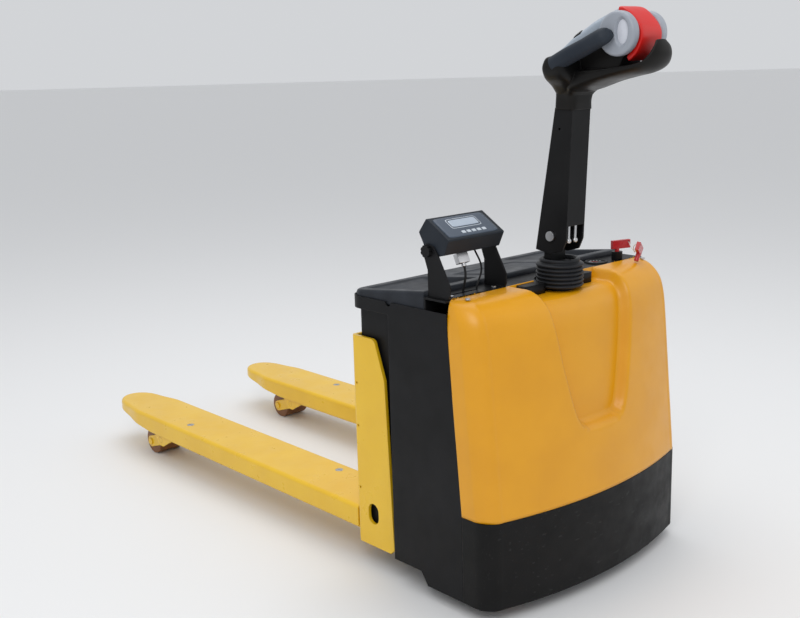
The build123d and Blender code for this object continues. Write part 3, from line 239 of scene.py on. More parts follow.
finishLooks = {
    "coverYellow": {"tone": (0.72, 0.315, 0.001), "second": (0.76, 0.34, 0.001), "shine": (0.3, 0.42),
        "grain": 900, "grainDepth": 0.05, "coat": 0.15, "edge": (0.88, 0.45, 0.02), "edgeWidth": 0.0025,
        "wear": 0.25},
    "forkYellow": {"tone": (0.8, 0.475, 0.004), "second": (0.84, 0.515, 0.008), "shine": (0.26, 0.42),
        "grain": 420, "grainDepth": 0.1, "coat": 0.35, "edge": (0.52, 0.3, 0.02), "edgeWidth": 0.003,
        "wear": 0.5, "scratch": 0.25},
    "bodyBlack": {"gleam": 0.16, "tone": (0.0055, 0.0055, 0.006), "second": (0.008, 0.008, 0.009),
        "shine": (0.36, 0.5), "grain": 520, "grainDepth": 0.25, "edge": (0.06, 0.06, 0.065),
        "edgeWidth": 0.003, "wear": 0.4},
    "skirtBlack": {"gleam": 0.16, "tone": (0.005, 0.005, 0.005), "second": (0.0075, 0.007, 0.007),
        "shine": (0.38, 0.55), "grain": 380, "grainDepth": 0.4, "edge": (0.05, 0.05, 0.05),
        "edgeWidth": 0.004, "wear": 0.5, "scratch": 0.3},
    "lidBlack": {"gleam": 0.16, "tone": (0.014, 0.016, 0.02), "second": (0.026, 0.03, 0.038),
        "shine": (0.34, 0.5), "grain": 300, "grainDepth": 0.6, "edge": (0.07, 0.08, 0.09),
        "edgeWidth": 0.003, "wear": 0.4},
    "armBlack": {"gleam": 0.16, "tone": (0.005, 0.005, 0.0055), "second": (0.008, 0.008, 0.0085),
        "shine": (0.34, 0.46), "grain": 700, "grainDepth": 0.12, "edge": (0.06, 0.06, 0.06),
        "edgeWidth": 0.002, "wear": 0.4},
    "hoodBlack": {"gleam": 0.16, "tone": (0.006, 0.006, 0.006), "second": (0.01, 0.009, 0.008),
        "shine": (0.3, 0.44), "grain": 800, "grainDepth": 0.14, "edge": (0.04, 0.04, 0.04),
        "edgeWidth": 0.002, "wear": 0.2},
    "gripRubber": {"gleam": 0.16, "tone": (0.02, 0.026, 0.036), "second": (0.03, 0.037, 0.048),
        "shine": (0.46, 0.6), "grain": 1100, "grainDepth": 0.25, "edge": (0.05, 0.06, 0.07),
        "edgeWidth": 0.002, "wear": 0.2},
    "bootRubber": {"gleam": 0.16, "tone": (0.011, 0.012, 0.014), "second": (0.022, 0.023, 0.026),
        "shine": (0.36, 0.52), "grain": 500, "grainDepth": 0.2, "edge": (0.05, 0.05, 0.055),
        "edgeWidth": 0.002, "wear": 0.3},
    "coverGrey": {"tone": (0.3, 0.35, 0.41), "second": (0.35, 0.4, 0.46), "shine": (0.34, 0.46),
        "grain": 1200, "grainDepth": 0.12, "edge": (0.45, 0.49, 0.54), "edgeWidth": 0.002, "wear": 0.3},
    "scoopPale": {"tone": (0.62, 0.64, 0.7), "second": (0.68, 0.7, 0.76), "shine": (0.26, 0.36),
        "grain": 1200, "grainDepth": 0.04, "edge": (0.75, 0.76, 0.8), "edgeWidth": 0.001, "wear": 0.1},
    "wheelGrey": {"tone": (0.31, 0.335, 0.38), "second": (0.36, 0.385, 0.43), "shine": (0.3, 0.4),
        "grain": 1200, "grainDepth": 0.06, "edge": (0.6, 0.62, 0.66), "edgeWidth": 0.0015, "wear": 0.2},
    "shellRed": {"tone": (0.62, 0.008, 0.005), "second": (0.68, 0.012, 0.008), "shine": (0.3, 0.42),
        "grain": 900, "grainDepth": 0.06, "edge": (0.5, 0.03, 0.02), "edgeWidth": 0.0015, "wear": 0.3},
    "keyRed": {"tone": (0.42, 0.006, 0.01), "second": (0.48, 0.01, 0.014), "shine": (0.24, 0.36),
        "grain": 900, "grainDepth": 0.05, "coat": 0.2, "edge": (0.6, 0.06, 0.06), "edgeWidth": 0.0012,
        "wear": 0.4},
    "caseSlate": {"gleam": 0.16, "tone": (0.013, 0.017, 0.023), "second": (0.02, 0.025, 0.033),
        "shine": (0.32, 0.44), "grain": 1300, "grainDepth": 0.2, "edge": (0.06, 0.08, 0.1),
        "edgeWidth": 0.0015, "wear": 0.3},
    "faceFilm": {"tone": (0.055, 0.075, 0.105), "second": (0.065, 0.085, 0.118), "shine": (0.28, 0.36),
        "grain": 1500, "grainDepth": 0.04, "edge": (0.12, 0.15, 0.18), "edgeWidth": 0.0005, "wear": 0.1},
    "displayGlass": {"tone": (0.36, 0.42, 0.5), "second": (0.4, 0.46, 0.54), "shine": (0.12, 0.18),
        "grain": 1500, "grainDepth": 0.01, "coat": 0.5, "edge": (0.5, 0.55, 0.6), "edgeWidth": 0.0005,
        "wear": 0.0},
    "keyPale": {"tone": (0.5, 0.55, 0.6), "second": (0.56, 0.6, 0.66), "shine": (0.35, 0.45),
        "grain": 1500, "grainDepth": 0.03, "edge": (0.65, 0.68, 0.7), "edgeWidth": 0.0005, "wear": 0.1},
    "bareSteel": {"tone": (0.5, 0.5, 0.51), "second": (0.6, 0.6, 0.61), "shine": (0.22, 0.42),
        "grain": 900, "grainDepth": 0.12, "metal": 1.0, "edge": (0.7, 0.7, 0.7), "edgeWidth": 0.0015,
        "wear": 0.5, "scratch": 0.5},
    "castGrey": {"tone": (0.1, 0.1, 0.105), "second": (0.15, 0.15, 0.155), "shine": (0.5, 0.7),
        "grain": 240, "grainDepth": 0.5, "metal": 0.4, "edge": (0.3, 0.3, 0.3), "edgeWidth": 0.002,
        "wear": 0.4},
    "castAlloy": {"tone": (0.45, 0.46, 0.47), "second": (0.53, 0.54, 0.55), "shine": (0.3, 0.5),
        "grain": 500, "grainDepth": 0.15, "metal": 1.0, "edge": (0.7, 0.7, 0.7), "edgeWidth": 0.0015,
        "wear": 0.3},
    "rollerAmber": {"tone": (0.16, 0.06, 0.018), "second": (0.22, 0.09, 0.03), "shine": (0.34, 0.5),
        "grain": 300, "grainDepth": 0.2, "edge": (0.3, 0.15, 0.06), "edgeWidth": 0.002, "wear": 0.4,
        "scratch": 0.3},
    "treadBlack": {"gleam": 0.16, "tone": (0.022, 0.022, 0.022), "second": (0.045, 0.043, 0.04),
        "shine": (0.6, 0.85), "grain": 260, "grainDepth": 0.5, "edge": (0.1, 0.1, 0.1),
        "edgeWidth": 0.002, "wear": 0.5},
    "leadBlack": {"gleam": 0.16, "tone": (0.01, 0.01, 0.011), "second": (0.018, 0.018, 0.019),
        "shine": (0.4, 0.5), "grain": 1500, "grainDepth": 0.1, "edge": (0.03, 0.03, 0.03),
        "edgeWidth": 0.0005, "wear": 0.1},
    "cordWhite": {"tone": (0.66, 0.66, 0.62), "second": (0.78, 0.78, 0.75), "shine": (0.7, 0.85),
        "grain": 2600, "grainDepth": 0.6, "edge": (0.8, 0.8, 0.8), "edgeWidth": 0.0003, "wear": 0.1},
}


def makeFinish(name, look):
    finish = bpy.data.materials.new(name)
    finish.use_nodes = True
    made, links = finish.node_tree.nodes, finish.node_tree.links
    shader = made["Principled BSDF"]
    shader.inputs["Metallic"].default_value = look.get("metal", 0)
    shader.inputs["Coat Weight"].default_value = look.get("coat", 0)
    shader.inputs["Coat Roughness"].default_value = 0.2
    shader.inputs["Specular IOR Level"].default_value = look.get("gleam", 0.45)
    place = made.new("ShaderNodeTexCoord").outputs["Object"]

    def speckle(scale, detail, stretch=None):
        noise = made.new("ShaderNodeTexNoise")
        noise.inputs["Scale"].default_value = scale
        noise.inputs["Detail"].default_value = detail
        if stretch:
            mapping = made.new("ShaderNodeMapping")
            mapping.inputs["Scale"].default_value = stretch
            mapping.inputs["Rotation"].default_value = (0.2, 0.1, 0.5)
            links.new(place, mapping.inputs["Vector"])
            links.new(mapping.outputs["Vector"], noise.inputs["Vector"])
        else:
            links.new(place, noise.inputs["Vector"])
        return noise.outputs["Fac"]

    def ranged(source, fromLow, fromHigh, toLow, toHigh):
        step = made.new("ShaderNodeMapRange")
        for key, value in (("From Min", fromLow), ("From Max", fromHigh), ("To Min", toLow), ("To Max", toHigh)):
            step.inputs[key].default_value = value
        links.new(source, step.inputs["Value"])
        return step.outputs["Result"]

    def mixed(factor, first, second):
        mix = made.new("ShaderNodeMix")
        mix.data_type = "RGBA"
        links.new(factor, mix.inputs[0])
        for socket, colour in ((6, first), (7, second)):
            if isinstance(colour, tuple):
                mix.inputs[socket].default_value = (*colour, 1)
            else:
                links.new(colour, mix.inputs[socket])
        return mix.outputs[2]

    def product(first, second):
        times = made.new("ShaderNodeMath")
        times.operation = "MULTIPLY"
        links.new(first, times.inputs[0])
        links.new(second, times.inputs[1])
        return times.outputs[0]

    mottle = speckle(9, 4)
    colour = mixed(ranged(mottle, 0.35, 0.65, 0, 1), look["tone"], look["second"])
    bevel = made.new("ShaderNodeBevel")
    bevel.samples = 4
    bevel.inputs["Radius"].default_value = look["edgeWidth"]
    facing = made.new("ShaderNodeNewGeometry")
    dot = made.new("ShaderNodeVectorMath")
    dot.operation = "DOT_PRODUCT"
    links.new(bevel.outputs["Normal"], dot.inputs[0])
    links.new(facing.outputs["Normal"], dot.inputs[1])
    edge = ranged(dot.outputs["Value"], 0.80, 0.99, look["wear"], 0)
    edge = product(edge, ranged(speckle(60, 5), 0.42, 0.62, 0, 1))
    colour = mixed(edge, colour, look["edge"])
    if look.get("scratch"):
        scuff = ranged(speckle(30, 2, (1, 14, 5)), 0.66, 0.72, 0, look["scratch"])
        colour = mixed(scuff, colour, look["edge"])
    links.new(colour, shader.inputs["Base Color"])
    links.new(ranged(speckle(24, 5), 0.3, 0.7, *look["shine"]), shader.inputs["Roughness"])
    bump = made.new("ShaderNodeBump")
    bump.inputs["Strength"].default_value = look["grainDepth"]
    bump.inputs["Distance"].default_value = 0.0006
    links.new(speckle(look["grain"], 2), bump.inputs["Height"])
    links.new(bevel.outputs["Normal"], bump.inputs["Normal"])
    links.new(bump.outputs["Normal"], shader.inputs["Normal"])
    return finish


finishes = {name: makeFinish(name, look) for name, look in finishLooks.items()}
print("finishes made:", len(finishes))


# Finishes of the pieces that keep their own shape

nodeFinishes = {
    "forkYellow": ("fork_carriage", "fork_shell_left", "fork_shell_right", "lift_rocker", "roller_frame_left",
                   "roller_frame_right"),
    "bodyBlack": ("main_frame", "body_shell", "deck_panel", "indicator_bracket", "lift_cylinder", "battery_left",
                  "battery_right"),
    "skirtBlack": ("bumper_skirt",),
    "lidBlack": ("battery_lid",),
    "armBlack": ("tiller_arm", "steering_column", "disconnect_switch", "indicator_knob_left", "indicator_knob_right",
                 "guide_shoes"),
    "hoodBlack": ("head_housing", "lift_button", "lower_button", "battery_gauge"),
    "coverGrey": ("head_cover",),
    "gripRubber": ("hand_grips",),
    "wheelGrey": ("thumb_wheels",),
    "bootRubber": ("bellows",),
    "coverYellow": ("front_cover",),
    "shellRed": ("belly_button",),
    "keyRed": ("disconnect_key", "spare_key"),
    "caseSlate": ("indicator_case",),
    "faceFilm": ("indicator_keypad",),
    "bareSteel": ("panel_screws", "fork_screws", "lift_ram", "guide_rails", "steering_ring", "pushrod_left",
                  "pushrod_right", "control_rods", "signal_connector", "caster_fork_left", "caster_fork_right"),
    "castGrey": ("drive_unit", "drive_motor", "drive_hub"),
    "castAlloy": ("hydraulic_unit", "motor_controller", "load_cells"),
    "rollerAmber": ("load_roller_left", "load_roller_right", "caster_wheel_left", "caster_wheel_right"),
    "treadBlack": ("drive_tyre",),
    "leadBlack": ("signal_cable", "power_lead"),
    "cordWhite": ("key_string",),
}
for finishName, nodeNames in nodeFinishes.items():
    for nodeName in nodeNames:
        for holder in nodes[nodeName].material_slots:
            holder.material = finishes[finishName]
print("plain pieces finished")


# Cords: route points are the control points of one smooth line each, in metres

cordLooks = {
    "signalCord": {"node": "signal_cable", "body": "chassis", "finish": "leadBlack", "slot": "rubber",
                   "thick": 0.005, "length": 0.0655,
                   "points": [(-0.250, -0.608, 0.7402), (-0.251, -0.6125, 0.729), (-0.253, -0.6135, 0.716),
                              (-0.253, -0.610, 0.703), (-0.252, -0.6055, 0.690), (-0.252, -0.6035, 0.677)]},
    "powerCord": {"node": "power_lead", "body": "chassis", "finish": "leadBlack", "slot": "rubber",
                  "thick": 0.004, "length": 0.1125,
                  "points": [(-0.186, -0.5735, 0.767), (-0.180, -0.5775, 0.752), (-0.180, -0.5875, 0.738),
                             (-0.188, -0.5985, 0.724), (-0.200, -0.6055, 0.712), (-0.210, -0.6075, 0.699),
                             (-0.213, -0.6065, 0.686), (-0.213, -0.6055, 0.674)]},
    "keyCord": {"node": "key_string", "body": "chassis", "finish": "cordWhite", "slot": "white_cord",
                "thick": 0.0018,
                "length": 0.0955,
                "points": [(0.289, -0.6294, 0.7245), (0.2874, -0.6344, 0.716), (0.285, -0.6425, 0.7085),
                           (0.278, -0.6565, 0.7045), (0.262, -0.6675, 0.706), (0.249, -0.6725, 0.714),
                           (0.2425, -0.676, 0.725), (0.2426, -0.6852, 0.7309)]},
}


def layCord(name, look):
    line = bpy.data.curves.new(name, "CURVE")
    line.dimensions = "3D"
    line.bevel_depth = look["thick"] / 2
    line.bevel_resolution = 5
    line.resolution_u = 12
    line.use_fill_caps = True
    spline = line.splines.new("NURBS")
    spline.points.add(len(look["points"]) - 1)
    for spot, point in zip(spline.points, look["points"]):
        spot.co = (*point, 1)
    spline.order_u = 3
    spline.use_endpoint_u = True
    cord = bpy.data.objects.new(name, line)
    bpy.context.scene.collection.objects.link(cord)
    dress(cord, look["body"], finishes[look["finish"]], look["slot"], look["node"])
    return cord


for cordName, cordLook in cordLooks.items():
    layCord(cordName, cordLook)
print("cords laid")


# Front cover: a bowed shell with a channel pressed down its middle

coverShape = {"nose": 488, "bowEdge": 446, "bowHalf": 297, "side": 337, "corner": 400, "channelDepth": 25,
              "rows": 150, "columns": 320, "wall": 2.5}
coverLeans = np.array([  # height, how far the front has leaned back, how far the sides have leaned in
    (227, 0, 0), (300, 6.5, 0), (390, 15, 0), (490, 24, 0), (585, 33, 0.5), (622, 39, 1.5), (645, 46, 4),
    (662, 57, 8),
    (675, 71, 12), (682, 85, 17), (685, 100, 22), (685, 116, 24), (685, 140, 24), (685, 163, 24),
], float)
channelHalf = np.array([  # how far up the shell, half width of the channel there
    (378, 30), (384, 58), (395, 70), (410, 78), (440, 88), (530, 110), (630, 128), (700, 136),
], float)


def coverSurface(shape):
    # rows climb the leaning profile and run back over the top; columns follow the bowed outline from seam to seam
    # outline: straight side, quarter-ellipse corner, then a parabola across the front
    lean = smoothKeys(coverLeans, shape["rows"])
    z, front, inward = (lean[:, k][:, None] for k in range(3))
    t = np.linspace(-1, 1, shape["columns"])[None, :]
    side, grow = np.sign(t), np.abs(t)
    bowShare, cornerShare = 0.66, 0.85
    bow = np.clip(grow / bowShare, 0, 1)
    turn = np.clip((grow - bowShare) / (cornerShare - bowShare), 0, 1) * np.pi / 2
    run = np.clip((grow - cornerShare) / (1 - cornerShare), 0, 1)
    bowHalf = shape["bowHalf"] - 0.6 * inward
    wide = shape["side"] - inward
    noseReach = shape["nose"] - front
    edgeReach = shape["bowEdge"] - front
    cornerReach = shape["corner"] - front
    bowReach = noseReach - (noseReach - edgeReach) * bow**2
    cornerX = bowHalf + (wide - bowHalf) * np.sin(turn)
    cornerY = cornerReach + (edgeReach - cornerReach) * (0.6 * np.cos(turn) + 0.4 * np.cos(turn) ** 2)
    seam = np.interp(z, [227, 674], [364, 325])
    x = np.where(grow <= bowShare, bow * bowHalf, np.where(grow <= cornerShare, cornerX, wide))
    reach = np.where(grow <= bowShare, bowReach, np.where(grow <= cornerShare, cornerY, cornerReach))
    reach = reach + (np.minimum(seam, reach) - reach) * np.where(grow > cornerShare, run, 0)
    reach = np.maximum(reach, seam)
    points = np.stack(np.broadcast_arrays(side * x, reach, z), axis=-1)
    # pressed in along the outward normal of the plain shell
    down, along = np.gradient(points, axis=0), np.gradient(points, axis=1)
    normal = np.cross(along, down)
    size = np.linalg.norm(normal, axis=-1, keepdims=True)
    normal = np.where(size > 1e-9, normal / np.maximum(size, 1e-9), 0)
    middle = points[:, shape["columns"] // 2]
    climb = np.concatenate([[0], np.cumsum(np.linalg.norm(np.diff(middle, axis=0), axis=1))])[:, None] + 227
    half = np.interp(np.minimum(climb, 700), channelHalf[:, 0], channelHalf[:, 1])
    press = smoothStep(-7, 7, half - np.abs(points[..., 0])) * smoothStep(372, 392, climb)
    groove = np.exp(-(((np.abs(points[..., 0]) - half - 3) / 5) ** 2)) * smoothStep(385, 420, climb) * 0.06
    outward = np.where(normal[..., 1:2] + normal[..., 2:3] > 0, 1, -1)
    points = points - normal * outward * (shape["channelDepth"] * (press + groove))[..., None]
    return toFrame(points[..., 0], points[..., 1], points[..., 2])


coverGrid = coverSurface(coverShape)
coverPiece = buildMesh("frontCoverShell", coverGrid, gridFaces(coverShape["rows"], coverShape["columns"]))
print("cover shell", len(coverPiece.data.polygons), "faces")
thicken(coverPiece, coverShape["wall"], (0, -0.5, 0.4))
dress(coverPiece, "chassis", finishes["coverYellow"], "cover_yellow", "front_cover")


# The turned-down edge of the deck on both sides of the bellows

lipShape = {"low": 656, "high": 682.8, "thick": 2.5,
            "paths": [[(-120, 326), (-120, 351), (-57, 351)], [(57, 351), (103, 351), (103, 326)]]}


def lipRings(path, shape):
    # a thin upright wall: each ring is the wall's rectangle, square to the path
    path = smoothKeys(path, 24)
    ahead = np.gradient(path, axis=0)
    normal = np.column_stack([-ahead[:, 1], ahead[:, 0]]) / np.linalg.norm(ahead, axis=1)[:, None]
    half = shape["thick"] / 2
    across = np.array([-half, half, half, -half])[None, :]
    z = np.array([shape["low"], shape["low"], shape["high"], shape["high"]])[None, :]
    return toFrame(path[:, :1] + normal[:, :1] * across, path[:, 1:] + normal[:, 1:] * across, z)


lip = joinGrids("deckLip", [lipRings(path, lipShape) for path in lipShape["paths"]])
dress(lip, "chassis", finishes["bodyBlack"], "black_steel")


# Bellows round the steering column: rounded ribs with narrow creases

bellowsShape = {"middle": (0, 345, 0), "bottom": 667.5, "top": 721, "ribs": 6, "inner": 45, "bulge": 8,
                "neck": 40}


def bellowsRings(shape):
    # radius is the inner one plus a bulge that follows the square root of a rectified sine, one hump for each rib
    t = np.linspace(0, 1, shape["ribs"] * 18 + 1)
    hump = np.sqrt(np.abs(np.sin(np.pi * shape["ribs"] * t)))
    radius = shape["inner"] + shape["bulge"] * hump
    z = shape["bottom"] + (shape["top"] - shape["bottom"]) * t
    collar = np.array([(43, 722.5), (44.5, 724), (44.5, 728), (43, 729.8), (shape["neck"], 730), (36.5, 729.5),
                       (36, 720)])
    foot = np.array([(36, shape["bottom"]), (shape["inner"], shape["bottom"])])
    profile = np.vstack([foot, np.column_stack([radius, z]), collar, foot[:1]])  # ends where it began: closed
    return spinRings(profile, shape["middle"], columns=120)


boot = joinGrids("bellowsBoot", [bellowsRings(bellowsShape)], capped=False)
dress(boot, "steering", finishes["bootRubber"], "rubber", "bellows")


# Tiller head: hood, cross base, spine, cover, pod, grips, thumb wheels and belly shell

hoodPath = [  # reach, height, half width, half thickness, squareness, curl
    (380, 1053, 34, 27, 6, 0), (381, 1075, 35, 27, 5, 0), (386, 1095, 42, 27, 4, 0),
    (402, 1110, 52, 25, 3.6, 0),
    (432, 1115, 57, 21, 3.4, 1), (480, 1122, 58, 14, 3.4, 3), (530, 1128, 56, 10, 3.2, 6),
    (568, 1133, 51, 8, 3, 8),
    (588, 1142, 45, 7, 3, 7), (599, 1159, 37, 6, 2.8, 5), (601, 1176, 28, 5, 2.6, 3),
    (596, 1189, 16, 3, 2.4, 1),
]
basePath = [
    (381, 1086, 38, 25, 4, 0), (386, 1102, 56, 30, 4, 0), (391, 1116, 78, 34, 4.5, 0),
    (393, 1128, 88, 34, 5, 0),
    (393, 1140, 92, 32, 5.5, 0), (394, 1152, 91, 29, 5.5, 0), (395, 1160, 88, 25, 5, 0),
    (396, 1164, 78, 18, 4, 0),
]
topPath = [
    (368, 1162, 46, 3, 3, -2), (376, 1168.5, 53, 6.5, 3.2, -4), (397.5, 1178, 55, 12, 3.4, -6),
    (423.7, 1196, 54, 14, 3.4, -7), (447, 1209.3, 51, 14, 3.4, -7), (467, 1221, 47, 14, 3.4, -6),
    (495.5, 1235, 39, 13, 3.4, -5), (511.5, 1246.5, 34, 7, 3.4, -3),
]
gripPath = [
    (392, 1146, 17, 17, 2.2, 0, 0), (402, 1151, 17, 17, 2.2, 0, 0), (430, 1163, 17.4, 17.4, 2.2, 0, 0),
    (470, 1179, 17, 17, 2.2, 0, 0), (500, 1192, 16.6, 17, 2.1, 0, 0), (515, 1199, 14.5, 16.5, 2.1, 0, -2),
    (523, 1203, 10, 13, 2, 0, -7), (526, 1205, 5, 8, 2, 0, -12),
]
bellyPath = [
    (518, 1251, 33, 5, 6, 0), (530, 1246.5, 34, 6.5, 7, 0), (545.5, 1235.5, 34, 6.5, 7, 0),
    (565, 1214, 34, 6.5, 7, 0),
    (568.6, 1194, 34, 6.5, 7, 0), (558.6, 1170.5, 34, 6.5, 7, 0), (545, 1157, 34, 6.5, 7, 0),
    (541, 1154.5, 33, 5, 6, 0),
]
spineLoop = [
    (374, 1130), (520, 1130), (527, 1150), (540, 1180), (536, 1215), (514, 1234), (462, 1214), (418, 1190),
    (374, 1156),
]
headSizes = {"spineHalf": 33, "gripX": 78, "pod": (0, 529, 1203), "rockerReach": 428, "rockerHeight": 1202,
             "wheelInner": 36, "wheelOuter": 57, "scoopPlace": (13, 3), "scoopHalf": (17, 30), "scoopDepth": 6}


def slabRings(loop, halfWidth, rounding, count=160, soften=5):
    # a closed side-view outline, its corners averaged round, carried across; a quarter circle draws in both faces
    loop = np.asarray(loop, float)
    closed = np.vstack([loop, loop[:1]])
    along = np.concatenate([[0], np.cumsum(np.linalg.norm(np.diff(closed, axis=0), axis=1))])
    spots = np.linspace(0, along[-1], count, endpoint=False)
    line = np.column_stack([np.interp(spots, along, closed[:, 0]), np.interp(spots, along, closed[:, 1])])
    line = sum(np.roll(line, k, axis=0) for k in range(-soften, soften + 1)) / (2 * soften + 1)
    ahead = np.roll(line, -1, axis=0) - np.roll(line, 1, axis=0)
    inward = np.column_stack([-ahead[:, 1], ahead[:, 0]]) / np.linalg.norm(ahead, axis=1)[:, None]
    turn = np.linspace(0, np.pi / 2, 7)
    x = np.concatenate([-halfWidth + rounding * (1 - np.cos(turn)),
                        halfWidth - rounding * (1 - np.cos(turn[::-1]))])
    inset = np.concatenate([rounding * (1 - np.sin(turn)), rounding * (1 - np.sin(turn[::-1]))])
    drawn = line[None] + inward[None] * inset[:, None, None]
    return toFrame(x[:, None], drawn[..., 0], drawn[..., 1])


def wheelRings(side, sizes):
    # a disc about the sideways axis, its rim rounded; an oval scoop is pressed into the outer face
    rim = [(10, sizes["wheelInner"]), (38, sizes["wheelInner"]), (42.4, 37.4), (44, 41), (44, 50), (43, 54.2),
           (40.4, 56.4)]
    faceRadius = np.linspace(38, 0.6, 40)
    profile = np.vstack([rim, np.column_stack([faceRadius, np.full(40, float(sizes["wheelOuter"]))])])
    radius, along = profile[:, 0][:, None], profile[:, 1][:, None]
    angle = np.linspace(0, 2 * np.pi, 120, endpoint=False)[None, :]
    forward, up = radius * np.cos(angle), radius * np.sin(angle)
    oval = np.hypot((forward - sizes["scoopPlace"][0]) / sizes["scoopHalf"][0],
                    (up - sizes["scoopPlace"][1]) / sizes["scoopHalf"][1])
    x = along - sizes["scoopDepth"] * smoothStep(1.0, 0.72, oval) * (along > 56)
    middle = sizes["pod"]
    return toFrame(side * x, middle[1] + forward, middle[2] + up)


hood = joinGrids("headHood", [loftRings(hoodPath, 90, 80), loftRings(basePath, 50, 96, upright=True),
                              slabRings(spineLoop, headSizes["spineHalf"], 4)])
dress(hood, "tiller", finishes["hoodBlack"], "black_plastic", "head_housing")
podProfile = [(1, -33), (21, -33), (24, -30), (24.5, -26), (24.5, 26), (24, 30), (21, 33), (1, 33)]
cap = joinGrids("headTop", [loftRings(topPath, 70, 80), spinRings(podProfile, headSizes["pod"], axis="x")])
dress(cap, "tiller", finishes["coverGrey"], "grey_plastic", "head_cover")
grips = joinGrids("gripSleeves", [loftRings(gripPath, 60, 48, side=s * headSizes["gripX"]) for s in (-1, 1)])
dress(grips, "tiller", finishes["gripRubber"], "rubber", "hand_grips")
wheels = joinGrids("thumbDiscs", [wheelRings(s, headSizes) for s in (-1, 1)])
dress(wheels, "throttle", finishes["wheelGrey"], "grey_plastic", "thumb_wheels")


def scoopPad(side, sizes):
    # the pale floor of a thumb wheel's scoop
    spot = (side * (sizes["wheelOuter"] - sizes["scoopDepth"] + 0.3),
            forkFace - sizes["pod"][1] - sizes["scoopPlace"][0], sizes["pod"][2] + sizes["scoopPlace"][1])
    half = sizes["scoopHalf"][0] * 0.8, sizes["scoopHalf"][1] * 0.84
    return pillowRings(spot, *half, 0.5, (0, side, 0), (0, 0, 1), 2) / 1000


def rockerPad(side, sizes):
    # a low rocker switch lying on the sloping shoulder of the head's cover
    normal = np.array((side * 0.5, 0.43, 0.75)) / np.linalg.norm((0.5, 0.43, 0.75))
    along = np.array((0, -0.8675, 0.4974))
    spot = (side * 43, forkFace - sizes["rockerReach"], sizes["rockerHeight"])
    return pillowRings(spot, 12, 8, 5, along, np.cross(normal, along), 5, edge=0.3) / 1000


scoops = joinGrids("thumbScoops", [scoopPad(s, headSizes) for s in (-1, 1)], capped=False)
dress(scoops, "throttle", finishes["scoopPale"], "grey_plastic")
for rockerName, side in (("lift_button", -1), ("lower_button", 1)):
    rocker = joinGrids(rockerName.split("_")[0] + "Rocker", [rockerPad(side, headSizes)], capped=False)
    dress(rocker, rockerName, finishes["hoodBlack"], "black_plastic", rockerName)
belly = joinGrids("bellyShell", [loftRings(bellyPath, 80, 64)])
dress(belly, "belly_button", finishes["shellRed"], "red_plastic", "belly_button")
print("tiller head made")


# Weighing indicator's face: film, display with its pale frame line, five keys

faceShape = {"middle": (-239, -603, 826), "across": (1, 0, 0), "up": (0, 0.852, 0.524), "film": (75, 32.5),
             "displayUp": 9, "frame": (47, 16.5), "border": (45.6, 15.1), "display": (42, 11.5), "keyUp": -20,
             "keyPitch": 15, "keyHalf": (5.4, 4)}


def facePad(across, up, half, height, power=7):
    shape = faceShape
    spot = np.array(shape["middle"]) + across * np.array(shape["across"]) + up * np.array(shape["up"])
    return pillowRings(spot, half[0], half[1], height, shape["across"], shape["up"], power) / 1000


facePieces = (  # name, place up the face, half size, height, squareness, finish, slot, replaced node
    ("faceFilm", 0, "film", 1.0, 12, "faceFilm", "indicator_blue", "indicator_keypad"),
    ("displayFrame", faceShape["displayUp"], "frame", 1.25, 9, "keyPale", "grey_plastic"),
    ("displayBorder", faceShape["displayUp"], "border", 1.45, 9, "faceFilm", "indicator_blue"),
    ("displayGlass", faceShape["displayUp"], "display", 1.7, 9, "displayGlass", "grey_plastic"),
)
for pieceName, up, sizeName, height, power, finishName, slotName, *replaced in facePieces:
    pad = joinGrids(pieceName, [facePad(0, up, faceShape[sizeName], height, power)], capped=False)
    dress(pad, "indicator", finishes[finishName], slotName, *replaced)
keyPads = joinGrids("faceKeys", [facePad(6 + faceShape["keyPitch"] * (k - 2), faceShape["keyUp"],
                                         faceShape["keyHalf"], 1.9) for k in range(5)], capped=False)
dress(keyPads, "indicator", finishes["keyPale"], "grey_plastic")
print("indicator face made")


# Battery gauge: bezel, dial, red mark and pale ticks

gaugeShape = {"middle": (201, 289, 683), "tickReach": 15,
              "bezel": [(21, -24), (27, -0.5), (27, 2), (26, 3.4), (24, 3.5), (22.2, 2.4), (22, 1.6), (0.5, 1.5)]}
bezel = joinGrids("gaugeBezel", [spinRings(gaugeShape["bezel"], gaugeShape["middle"])])
dress(bezel, "chassis", finishes["armBlack"], "black_plastic", "battery_gauge")


def gaugeMark(turn, reach, half):
    x, front, z = gaugeShape["middle"]
    a = math.radians(turn)
    u, v = (math.cos(a), math.sin(a), 0), (-math.sin(a), math.cos(a), 0)
    spot = (x + reach * v[0], forkFace - front + reach * v[1], z + 1.45)
    return pillowRings(spot, half[0], half[1], 0.5, u, v, 5) / 1000


redMark = joinGrids("gaugeMark", [gaugeMark(30, 4, (1.3, 9))], capped=False)
dress(redMark, "chassis", finishes["keyRed"], "red_plastic")
ticks = joinGrids("gaugeTicks", [gaugeMark(t, gaugeShape["tickReach"], (0.8, 2.6)) for t in range(-90, 91, 30)],
                  capped=False)
dress(ticks, "chassis", finishes["keyPale"], "grey_plastic")
print("gauge made")


# Battery lid: a sloping top with two trays and a raised middle, its edge rolled down into a rim

lidShape = {"half": 333, "rear": 17, "front": 258, "low": 665, "rise": 0.115, "rim": 650, "corner": 38,
            "roll": 7,
            "tray": (142, 310), "trayReach": (51, 221), "trayFloor": 667, "trayEdge": 9, "count": (300, 150),
            "wall": 1.5}


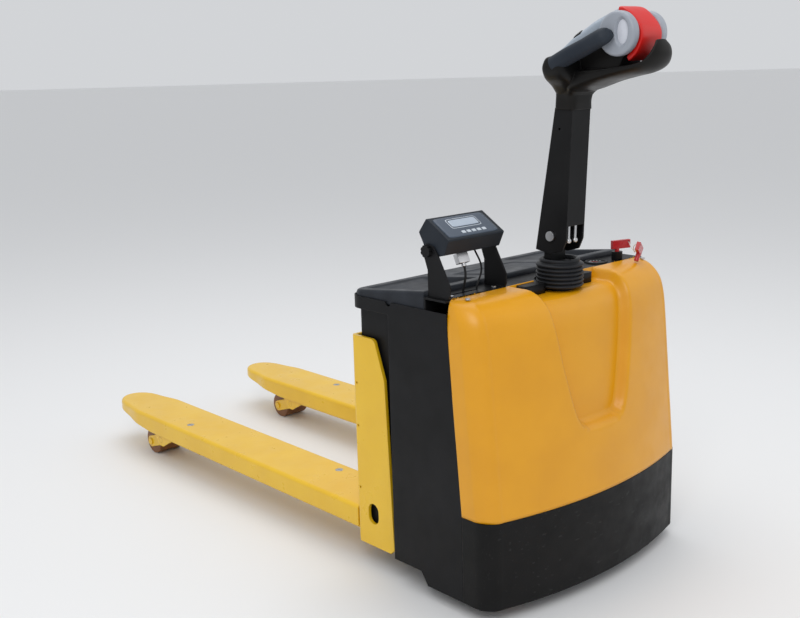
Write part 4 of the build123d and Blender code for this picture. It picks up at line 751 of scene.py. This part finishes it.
def lidSurface(shape):
    # a height field over a rectangle; past the rectangle's edge the grid rolls over a quarter circle and drops
    # to the rim
    columns, rows = shape["count"]
    half, rear, front, roll = shape["half"], shape["rear"], shape["front"], shape["roll"]
    drop = 30
    u = np.concatenate([np.linspace(-half - drop, -half, 14)[:-1], np.linspace(-half, half, columns),
                        np.linspace(half, half + drop, 14)[1:]])
    v = np.concatenate([np.linspace(rear - drop, rear, 14)[:-1], np.linspace(rear, front, rows),
                        np.linspace(front, front + drop, 14)[1:]])
    x, reach = np.meshgrid(u, v)
    flatX, flatReach = np.clip(x, -half, half), np.clip(reach, rear, front)
    over = np.maximum(np.abs(x) - np.abs(flatX), np.abs(reach - flatReach)) / drop
    # rear corners: the square corner patch is squeezed onto a quarter circle
    r = shape["corner"]
    dx, dy = np.abs(flatX) - (half - r), (rear + r) - flatReach
    inCorner = (dx > 0) & (dy > 0)
    squeeze = np.where(inCorner, np.maximum(dx, dy) / np.maximum(np.hypot(dx, dy), 1e-9), 1)
    bentX = np.where(inCorner, np.sign(flatX) * (half - r + dx * squeeze), flatX)
    bentReach = np.where(inCorner, rear + r - dy * squeeze, flatReach)
    z = shape["low"] + shape["rise"] * bentReach
    edge = np.minimum(half - np.abs(flatX), np.minimum(flatReach - rear, front - flatReach))
    edge = np.where(inCorner, np.minimum(edge, r - np.maximum(dx, dy)), edge)
    z = z - roll * (1 - np.sqrt(np.clip(1 - (1 - np.clip(edge / roll, 0, 1)) ** 2, 0, 1)))
    e = shape["trayEdge"]
    inX = (smoothStep(-e / 2, e / 2, np.abs(bentX) - shape["tray"][0])
           * smoothStep(-e / 2, e / 2, shape["tray"][1] - np.abs(bentX)))
    inReach = (smoothStep(-e / 2, e / 2, bentReach - shape["trayReach"][0])
               * smoothStep(-e / 2, e / 2, shape["trayReach"][1] - bentReach))
    z = z + (shape["trayFloor"] + 0.4 - z) * inX * inReach
    padX, padReach = smoothStep(-6, 6, 92 - np.abs(bentX)), smoothStep(-6, 6, bentReach - 120)
    hollow = smoothStep(-6, 6, 100 - np.abs(bentX)) * smoothStep(-6, 6, bentReach - 112) - padX * padReach
    z = z - 3.5 * hollow * smoothStep(-4, 4, front - 8 - bentReach)
    z = np.where(over > 0, (z - shape["rim"]) * (1 - over) + shape["rim"], z)
    return toFrame(bentX, bentReach, z)


lidGrid = lidSurface(lidShape)
lid = buildMesh("lidShell", lidGrid, gridFaces(*lidGrid.shape[:2]))
thicken(lid, lidShape["wall"], (0, -0.45, 0.5))
dress(lid, "battery_lid", finishes["lidBlack"], "black_plastic", "battery_lid")
print("lid made")
